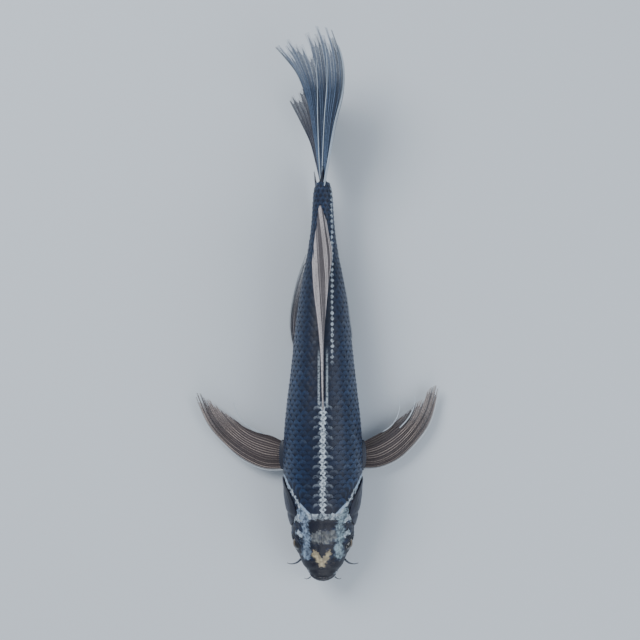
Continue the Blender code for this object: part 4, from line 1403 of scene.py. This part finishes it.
@dataclass
class Fin:
    """One fin: a thin frayed film on forked rays, shaped by a few guide rays in millimetres."""

    name: str
    kind: FinKind
    guides: tuple[tuple[Row, ...], ...]
    rays: int
    nodes: tuple[str, ...]
    body: str
    side: int = 1
    face: int = -1  # which face of the film carries the rays
    film_wall: float = 0.22
    ray_radius: float = 0.5
    ripple: float = 0.5
    fray: float = 0.05
    tear: float = 0.12
    seed: float = 1.0
    leader: float = 1.0  # thickness of the first ray, as a multiple of the others'
    edge_highlight: float = 0.75  # how strong the painted white highlight along its first ray is
    gaps: tuple[tuple[float, float], ...] = ()  # where across it splits into wisps, and how deep
    strays: tuple[tuple[Row, ...], ...] = ()
    pale_rays: tuple[Row, ...] = ()  # shares across where each starts and ends, and how far along it ends

    def at(self, across: float, along: float, lift: float = 0.0) -> Vector:
        """Find a point on the fin.

        Args:
            across: Share from its first ray to its last.
            along: Share from a ray's root to its tip.
            lift: Distance off the film, in millimetres.

        Returns:
            The point in metres.
        """

        def spot(u: float, v: float) -> Vector:
            """Place a point of the plain film."""
            line = curve_at([curve_at([Vector(point) for point in ray], v) for ray in self.guides], u)
            return place(self.side * line.x, line.y, line.z)

        point = spot(across, along)
        if lift:
            u, v = min(max(across, 0.01), 0.99), min(max(along, 0.01), 0.99)
            normal = (spot(u + 0.01, v) - spot(u - 0.01, v)).cross(spot(u, v + 0.01) - spot(u, v - 0.01))
            point += normal.normalized() * lift * MM * self.side * self.face
        return point

    def reach(self, ray: float) -> float:
        """Return how long a ray is, as a share of the guides' length."""
        across = (ray + 0.5) / self.rays
        short = sum(depth * math.exp(-(((across - at) / 0.045) ** 2)) for at, depth in self.gaps)
        return 1.0 - self.tear * abs(wobble(self.seed * 3.7 + ray * 1.37, ray * 2.3)) - short

    def wave(self, across: float, along: float) -> float:
        """Return the film's ripple: high on a ray and low between two."""
        return -self.ripple * math.cos(2 * math.pi * across * self.rays) * ease(along, -0.1, 0.6)

    def film(self) -> bpy.types.Object:
        """Make the film, notched between its rays."""

        def where(u: float, v: float) -> Vector:
            """Place a point of the film."""
            ray = min(max(u * self.rays - 0.5, 0.0), self.rays - 1.0)
            low = int(ray)
            share = ray - low
            length = self.reach(low) * (1 - share) + self.reach(min(low + 1, self.rays - 1)) * share
            notch = self.fray * (math.sin(math.pi * share) ** 0.7)
            split = 0.09 * max(0.0, wobble(self.seed + low * 2.1)) * math.sin(math.pi * share) ** 3
            along = v * (length - notch - split - 0.012)
            return self.at(u, along, self.wave(u, along))

        bm = Bench.grid(self.rays * 8, 44, where)
        centre = self.at(0.5, 0.5)
        outwards = self.at(0.5, 0.5, 1.0) - centre
        middle = min(bm.faces, key=lambda face: (face.calc_center_median() - centre).length_squared)
        Bench.turn_out(bm, lambda face: face.normal.dot(outwards) * (face is middle))
        finish = FilmFinish(self.kind, self.rays)
        piece = Bench.finish(f"{self.name}_film", bm, finish, "fin_membrane", wall=self.film_wall)
        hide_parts(*self.nodes[:1])
        return piece

    def branch(self, ray: int, first: float, last: float, aside: float) -> tuple[list, list, list]:
        """Lay out one branch of a ray.

        Args:
            ray: Which ray, from 0.
            first: Share of the ray's length where it starts.
            last: Share where it ends.
            aside: How far it grows to the side, in steps of the fork.

        Returns:
            Its points, its radii in millimetres, and the look at each point: shade, share and the strength of
            the painted highlight on the leading rays.
        """
        centre, length = (ray + 0.5) / self.rays, self.reach(ray)
        step = 0.26 / self.rays
        chance = 0.5 + 0.5 * wobble(self.seed * 5 + ray * 2.9)
        # Painted highlight: strong along the first ray and faint along the second.
        paleness_and_highlight = self.edge_highlight if ray == 0 else 0.3 * self.edge_highlight * (ray == 1)
        thick = self.ray_radius * (self.leader if ray == 0 else 1.0) * (0.85 if aside else 1.0)
        near = math.copysign(1.0, aside) if aside else 0.0
        path, radii, looks = [], [], []
        for i in range(13):
            share = first + (last - first) * i / 12
            grown = near * ease(share, 0.44, 0.7) + (aside - near) * ease(share, 0.74, 0.95)
            along = share * length
            sway = 0.0025 * wobble(self.seed + ray * 0.7 + aside, share * 9)
            path.append(self.at(centre + grown * step + sway, along, self.wave(centre, along) + 0.12))
            radii.append(thick * (1.02 - 0.8 * share))
            looks.append((chance, share, paleness_and_highlight))
        return path, radii, looks

    def comb(self, surface: Surface) -> bpy.types.Object:
        """Make the rays, each of which forks twice.

        Args:
            surface: Their finish.

        Returns:
            All of them as one piece.
        """
        everything = Bench.toned()

        def add(path: list[Vector], radii: list[float], looks: list[tuple[float, float, float]]) -> None:
            """Add one tube, with the ray's shade and the share of its length stored on it."""
            tube = Bench.tube(path, radii, 6)
            mark = tube.verts.layers.float_vector.new("tone")
            for vert in tube.verts:
                vert[mark] = looks[min(range(len(path)), key=lambda i: (path[i] - vert.co).length_squared)]
            Bench.gather(everything, tube)

        for ray in range(self.rays):
            for first, last, asides in FORKS:
                for aside in asides:
                    add(*self.branch(ray, first, last, aside))
        for start, end, reach in self.pale_rays:
            shares = [i / 24 for i in range(25)]
            path = [self.at(start + (end - start) * f, 0.03 + (reach - 0.03) * f, 1.0) for f in shares]
            add(path, [0.55 - 0.4 * f**2 for f in shares], [(0.1, f, 0.9) for f in shares])
        for stray in self.strays:
            line = [Vector(point) for point in stray]
            shares = [i / 18 for i in range(19)]
            points = [curve_at(line, f) for f in shares]
            path = [place(self.side * point.x, point.y, point.z) for point in points]
            add(path, [0.75 - 0.5 * f for f in shares], [(0.1, f, 1.0) for f in shares])
        piece = Bench.finish(f"{self.name}_comb", everything, surface, "fin_ray", 180)
        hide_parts(*self.nodes[1:])
        return piece

    def build(self, surface: Surface) -> None:
        """Make the film and the rays, and fix them to the fin's body; the breast fins' pieces are only baked
        where they lie.

        Args:
            surface: The rays' finish.
        """
        for piece in (self.film(), self.comb(surface)):
            if self.body.startswith("breast"):
                start, end = (tuple(place(self.side * x, *BREAST_HINGE)) for x in (41.0, 50.0))
                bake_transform(piece)
            else:
                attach(piece, self.body)


@dataclass
class Fins:
    """All the fins, and the fleshy roots of the breast fins."""

    breast_left: tuple[tuple[Row, ...], ...] = (
        ((41, 122, 16), (62, 123, 16), (84, 132, 16), (105, 151, 15), (122, 176, 13), (131, 214, 10)),
        ((41, 131, 16), (62, 132, 18), (83, 143, 19), (102, 162, 17), (117, 186, 14), (126, 217, 11)),
        ((41, 141, 16), (60, 146, 18), (78, 156, 18), (93, 169, 16), (103, 183, 14), (109, 201, 12)),
        ((41, 150, 16), (54, 157, 16), (65, 163, 16), (74, 169, 15), (81, 174, 14), (87, 178, 13)),
    )
    breast_right: tuple[tuple[Row, ...], ...] = (
        ((41, 121, 16), (64, 121, 16), (88, 131, 16), (110, 149, 15), (130, 172, 13), (145, 206, 10)),
        ((41, 131, 16), (65, 132, 18), (88, 143, 19), (109, 159, 17), (126, 180, 14), (138, 208, 11)),
        ((41, 142, 16), (64, 147, 18), (84, 155, 18), (100, 167, 16), (113, 181, 14), (121, 194, 12)),
        ((41, 151, 16), (57, 159, 16), (70, 162, 16), (80, 165, 15), (89, 169, 14), (96, 175, 13)),
    )
    pelvic: tuple[tuple[Row, ...], ...] = (
        ((20.5, 229, 3.2), (27, 247, 4), (33, 267, 6), (31, 289, 9), (26, 322, 12), (18, 350, 14)),
        ((19, 233, 3.0), (23, 252, 4), (26, 272, 5.5), (24, 292, 7.5), (20, 315, 10), (15, 334, 12)),
        ((17.5, 237, 2.8), (18.5, 254, 3.6), (19.5, 272, 4.6), (17.5, 288, 6), (14, 303, 8), (11, 315, 9.5)),
    )
    pelvic_right: tuple[tuple[Row, ...], ...] = (
        ((20.5, 229, 3.2), (29, 247, 4), (36, 270, 6), (36.5, 298, 9), (29, 334, 12), (18, 366, 14)),
        ((19, 233, 3.0), (24, 252, 4), (28, 272, 5.5), (27, 296, 7.5), (22, 320, 10), (15, 342, 12)),
        ((17.5, 237, 2.8), (18.5, 254, 3.6), (19.5, 272, 4.6), (17.5, 288, 6), (14, 303, 8), (11, 315, 9.5)),
    )
    dorsal: tuple[tuple[Row, ...], ...] = (
        ((0, 190, 97.6), (-1.2, 222, 101), (-2.5, 254, 103), (-6, 290, 104), (-10, 322, 101), (-12, 356, 95)),
        ((0, 236, 92.5), (-0.5, 262, 97), (-2, 290, 98.5), (-4, 320, 96), (-6, 352, 91), (-8, 388, 85)),
        ((0, 282, 86.6), (3, 305, 91), (4, 330, 90.5), (3, 356, 87), (0, 384, 82), (-4, 413, 77)),
        ((0, 328, 79.5), (6, 341, 82.5), (9, 353, 82), (9, 366, 79.5), (6, 380, 77), (3, 398, 74)),
    )
    anal: tuple[tuple[Row, ...], ...] = (
        ((0, 331, 19.5), (1, 351, 11), (0, 372, 7), (-3, 398, 8), (-7, 428, 11), (-10, 458, 15)),
        ((0, 340, 22.4), (0, 358, 18), (0, 380, 16), (-2, 402, 16), (-5, 424, 18), (-8, 446, 21)),
        ((0, 349, 25), (0, 364, 22.5), (0, 384, 21), (-1, 398, 21.5), (-2, 414, 23), (-4, 430, 25)),
    )
    tail_upper: tuple[tuple[Row, ...], ...] = (
        ((1.5, 434, 66), (6.4, 458, 74), (14, 499, 86), (22, 532, 93), (22, 564, 98), (11, 597, 103)),
        ((0.8, 434, 62), (4, 463, 71), (8, 503, 81), (13, 540, 89), (11, 572, 95), (2, 603, 101)),
        ((0, 434, 59), (0, 465, 66), (0, 505, 75), (-1, 545, 84), (-6, 578, 91), (-15, 603, 97)),
        ((-0.8, 434, 56), (-4, 466, 62), (-8, 503, 69), (-14, 540, 77), (-25, 569, 83), (-38, 592, 88)),
        ((-1.5, 434, 53), (-6, 464, 57), (-11, 497, 62), (-17, 527, 67), (-29, 557, 73), (-52, 584, 80)),
    )
    tail_lower: tuple[tuple[Row, ...], ...] = (
        ((1, 434, 51), (6, 468, 51), (10, 502, 48), (14, 532, 44), (16, 556, 41)),
        ((0.4, 434, 47), (1, 468, 45), (0, 504, 40), (-3, 534, 35), (-7, 555, 31)),
        ((-0.2, 434, 43), (-4, 464, 39), (-9, 497, 32), (-15, 527, 26), (-24, 549, 22)),
        ((-0.8, 434, 39), (-7, 460, 33), (-14, 486, 27), (-26, 512, 20), (-39, 538, 14)),
    )

    tail_web: tuple[tuple[Row, ...], ...] = (
        ((-1.4, 436, 53.5), (-4, 450, 55.3), (-6, 464, 57), (-8.6, 482, 59.6)),
        ((0, 436, 52), (0, 446, 53), (0, 456, 53.6), (0, 466, 54)),
        ((1, 436, 51), (3.6, 452, 51), (6, 468, 51), (8.2, 484, 49.8)),
    )

    dorsal_look: ClassVar[dict] = dict(
        ray_radius=0.55, leader=1.6, seed=5.0, tear=0.1, ripple=0.6, edge_highlight=0.0, face=1
    )
    anal_look: ClassVar[dict] = dict(
        ray_radius=0.4, leader=1.6, seed=6.0, tear=0.1, ripple=0.45, edge_highlight=0.6
    )
    upper_look: ClassVar[dict] = dict(
        ray_radius=0.55,
        leader=1.6,
        seed=7.0,
        tear=0.18,
        ripple=0.45,
        fray=0.07,
        edge_highlight=0.6,
        gaps=((0.3, 0.12), (0.62, 0.2)),
        pale_rays=((0.76, 0.54, 0.74), (0.1, 0.04, 0.62), (0.5, 0.36, 0.84)),
    )
    lower_look: ClassVar[dict] = dict(
        ray_radius=0.55, leader=1.6, seed=8.0, tear=0.3, ripple=0.45, edge_highlight=0.6
    )
    web_look: ClassVar[dict] = dict(ray_radius=0.35, seed=9.0, edge_highlight=0.0)

    @staticmethod
    def nodes(fin: str) -> tuple[str, str]:
        """Return the names of the CAD film and rays that a fin stands for."""
        return f"{fin}_membrane", f"{fin}_rays"

    def roots(self, surface: Surface) -> None:
        """Make the fleshy roots of the breast fins, which flatten towards the rays.

        Args:
            surface: Their finish.
        """
        for word, side in SIDES.items():

            def where(u: float, v: float) -> Vector:
                """Place a point of the root."""
                turn = 2 * math.pi * u
                rounded = math.sqrt(max(0.0, 1 - max(0.0, (v - 0.72) / 0.28) ** 2))
                full = rounded * (1 if v > 0.01 else 0.2) * 0.998 + 0.002
                wide = (11.5 + 6.0 * ease(v, 0.0, 0.8)) * full
                thick = (6.4 - 4.0 * ease(v, 0.15, 0.9)) * full
                out = 29.0 + 21.0 * v
                return place(side * out, 136.5 + 1.5 * v + wide * math.cos(turn), 16 + thick * math.sin(turn))

            bm = Bench.grid(36, 22, where, closed=True)
            bmesh.ops.holes_fill(bm, edges=[edge for edge in bm.edges if edge.is_boundary], sides=36)
            bmesh.ops.recalc_face_normals(bm, faces=bm.faces)
            piece = Bench.finish(f"fin_shoulder_{word}", bm, surface, "skin", 80)
            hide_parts(f"fin_root_{word}")
            start, end = (tuple(place(side * x, *BREAST_HINGE)) for x in (33.0, 41.0))
            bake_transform(piece)

    def build(self) -> None:
        """Make every fin."""
        combs = {kind: RayFinish(kind) for kind in FinKind}
        left_strays = (
            ((66, 163, 16), (76, 170, 17), (83, 180, 18), (86, 193, 18), (84.5, 206, 17)),
            ((86, 168, 16), (95, 178, 17), (101, 189, 18), (103, 199, 18), (102, 207, 17)),
        )
        right_strays = (((68, 162, 16), (80, 168, 17), (90, 176, 18), (96, 186, 18), (100, 197, 17)),)
        for word, guides, pelvic, strays, seed in (
            ("left", self.breast_left, self.pelvic, left_strays, 1.0),
            ("right", self.breast_right, self.pelvic_right, right_strays, 2.0),
        ):
            side = SIDES[word]
            Fin(
                f"breast_fin_{word}",
                FinKind.BREAST,
                guides,
                17,
                self.nodes(f"breast_fin_{word}"),
                f"breast_{word}",
                side,
                ray_radius=0.55,
                leader=1.7,
                seed=seed,
                tear=0.16,
                strays=strays,
            ).build(combs[FinKind.BREAST])
            Fin(
                f"pelvic_fin_{word}",
                FinKind.BELLY,
                pelvic,
                9,
                self.nodes(f"pelvic_fin_{word}"),
                f"pelvic_{word}",
                side,
                ray_radius=0.42,
                ripple=0.35,
                leader=1.4,
                seed=seed + 2,
            ).build(combs[FinKind.BELLY])
        for fin, kind, guides, rays, body, look in (
            ("dorsal_fin", FinKind.DORSAL, self.dorsal, 19, "dorsal", self.dorsal_look),
            ("anal_fin", FinKind.BELLY, self.anal, 8, "anal", self.anal_look),
            ("tail_fin_upper", FinKind.TAIL, self.tail_upper, 19, "tail", self.upper_look),
            ("tail_fin_lower", FinKind.TAIL_UNDER, self.tail_lower, 13, "tail", self.lower_look),
        ):
            Fin(fin, kind, guides, rays, self.nodes(fin), body, **look).build(combs[kind])
        under = FinKind.TAIL_UNDER
        Fin("tail_fin_web", under, self.tail_web, 5, (), "tail", **self.web_look).build(combs[under])
        self.roots(HideFinish("fin_shoulder", srgb(26, 31, 48), 0.12))


# ---------------------------------------------------------------- the hidden frame, and the studio


class Innards:
    """The CAD nodes that stay as they are, inside the skin, and what they are made of."""

    def build(self) -> None:
        """Give each kept node its material."""
        bone = HardFinish("bone", srgb(168, 156, 128), srgb(222, 214, 192), Gloss(roughness=0.6), (1, 0.2, 1))
        shine = Gloss(roughness=0.32, metallic=1.0)
        steel = HardFinish("steel", srgb(96, 98, 104), srgb(176, 178, 184), shine)
        bladder = FleshFinish("bladder", srgb(196, 180, 170), srgb(226, 218, 210), 0.2, False)
        for name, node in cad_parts.items():
            if name.startswith(("spine_", "rib_frame")) or name in ("jaw_yoke", "tail_plate"):
                surface = bone
            elif name.endswith("_pin") or "_pin_" in name:
                surface = steel
            elif name == "swim_bladder":
                surface = bladder
            else:
                continue
            node.data.materials.clear()
            node.data.materials.append(surface.material)


@dataclass(frozen=True)
class Studio:
    """The floor, the lights and the camera."""

    middle: tuple[float, float] = (-0.0031, 0.139)
    camera_height: float = 1.71
    lens: float = 85.0

    def floor(self) -> None:
        """Lay a plain pale floor."""
        bm = bmesh.new()
        bmesh.ops.create_grid(bm, x_segments=1, y_segments=1, size=4.0)
        mesh = bpy.data.meshes.new("floor")
        bm.to_mesh(mesh)
        bm.free()
        floor = bpy.data.objects.new("floor", mesh)
        floor.location.z = -0.0002
        bpy.context.scene.collection.objects.link(floor)
        paper = bpy.data.materials.new("floor")
        paper.use_nodes = True
        shader = paper.node_tree.nodes["Principled BSDF"]
        shader.inputs["Base Color"].default_value = srgb(214, 222, 230)
        shader.inputs["Roughness"].default_value = 0.9
        mesh.materials.append(paper)

    def lamp(self, name: str, at: Row, size: float, power: float, colour: Row = (1, 1, 1)) -> None:
        """Hang a square soft lamp that points at the fish.

        Args:
            name: Its name.
            at: Its place in metres.
            size: Its side in metres.
            power: Its power in watts.
            colour: Its colour.
        """
        light = bpy.data.lights.new(name, "AREA")
        light.size, light.energy, light.color = size, power, colour
        lamp = bpy.data.objects.new(name, light)
        lamp.location = at
        aim = Vector((self.middle[0], self.middle[1], 0.03)) - Vector(at)
        lamp.rotation_euler = aim.to_track_quat("-Z", "Y").to_euler()
        bpy.context.scene.collection.objects.link(lamp)

    def build(self) -> None:
        """Set up the studio."""
        self.floor()
        self.lamp("key", (-1.3, 1.3, 1.9), 1.3, 42)
        self.lamp("fill", (1.6, -0.4, 1.6), 1.8, 22, (0.92, 0.96, 1.0))
        self.lamp("low", (0.2, -1.9, 0.9), 1.2, 10)
        world = bpy.data.worlds.new("studio")
        world.use_nodes = True
        world.node_tree.nodes["Background"].inputs["Color"].default_value = (0.82, 0.9, 1.0, 1.0)
        world.node_tree.nodes["Background"].inputs["Strength"].default_value = 0.45
        bpy.context.scene.world = world
        data = bpy.data.cameras.new("camera")
        data.lens, data.sensor_width = self.lens, 36.0
        data.clip_start, data.clip_end = 0.05, 20.0
        camera = bpy.data.objects.new("camera", data)
        camera.location = (*self.middle, self.camera_height)
        bpy.context.scene.collection.objects.link(camera)
        bpy.context.scene.camera = camera


def main() -> None:
    """Build the fish in order."""
    logging.basicConfig(level=logging.INFO, format="%(name)s %(message)s")
    for assembly in (Studio(), Trunk(), Head(), Fins(), Innards()):
        LOG.info("building %s", type(assembly).__name__)
        assembly.build()


if __name__ == "__main__":
    main()
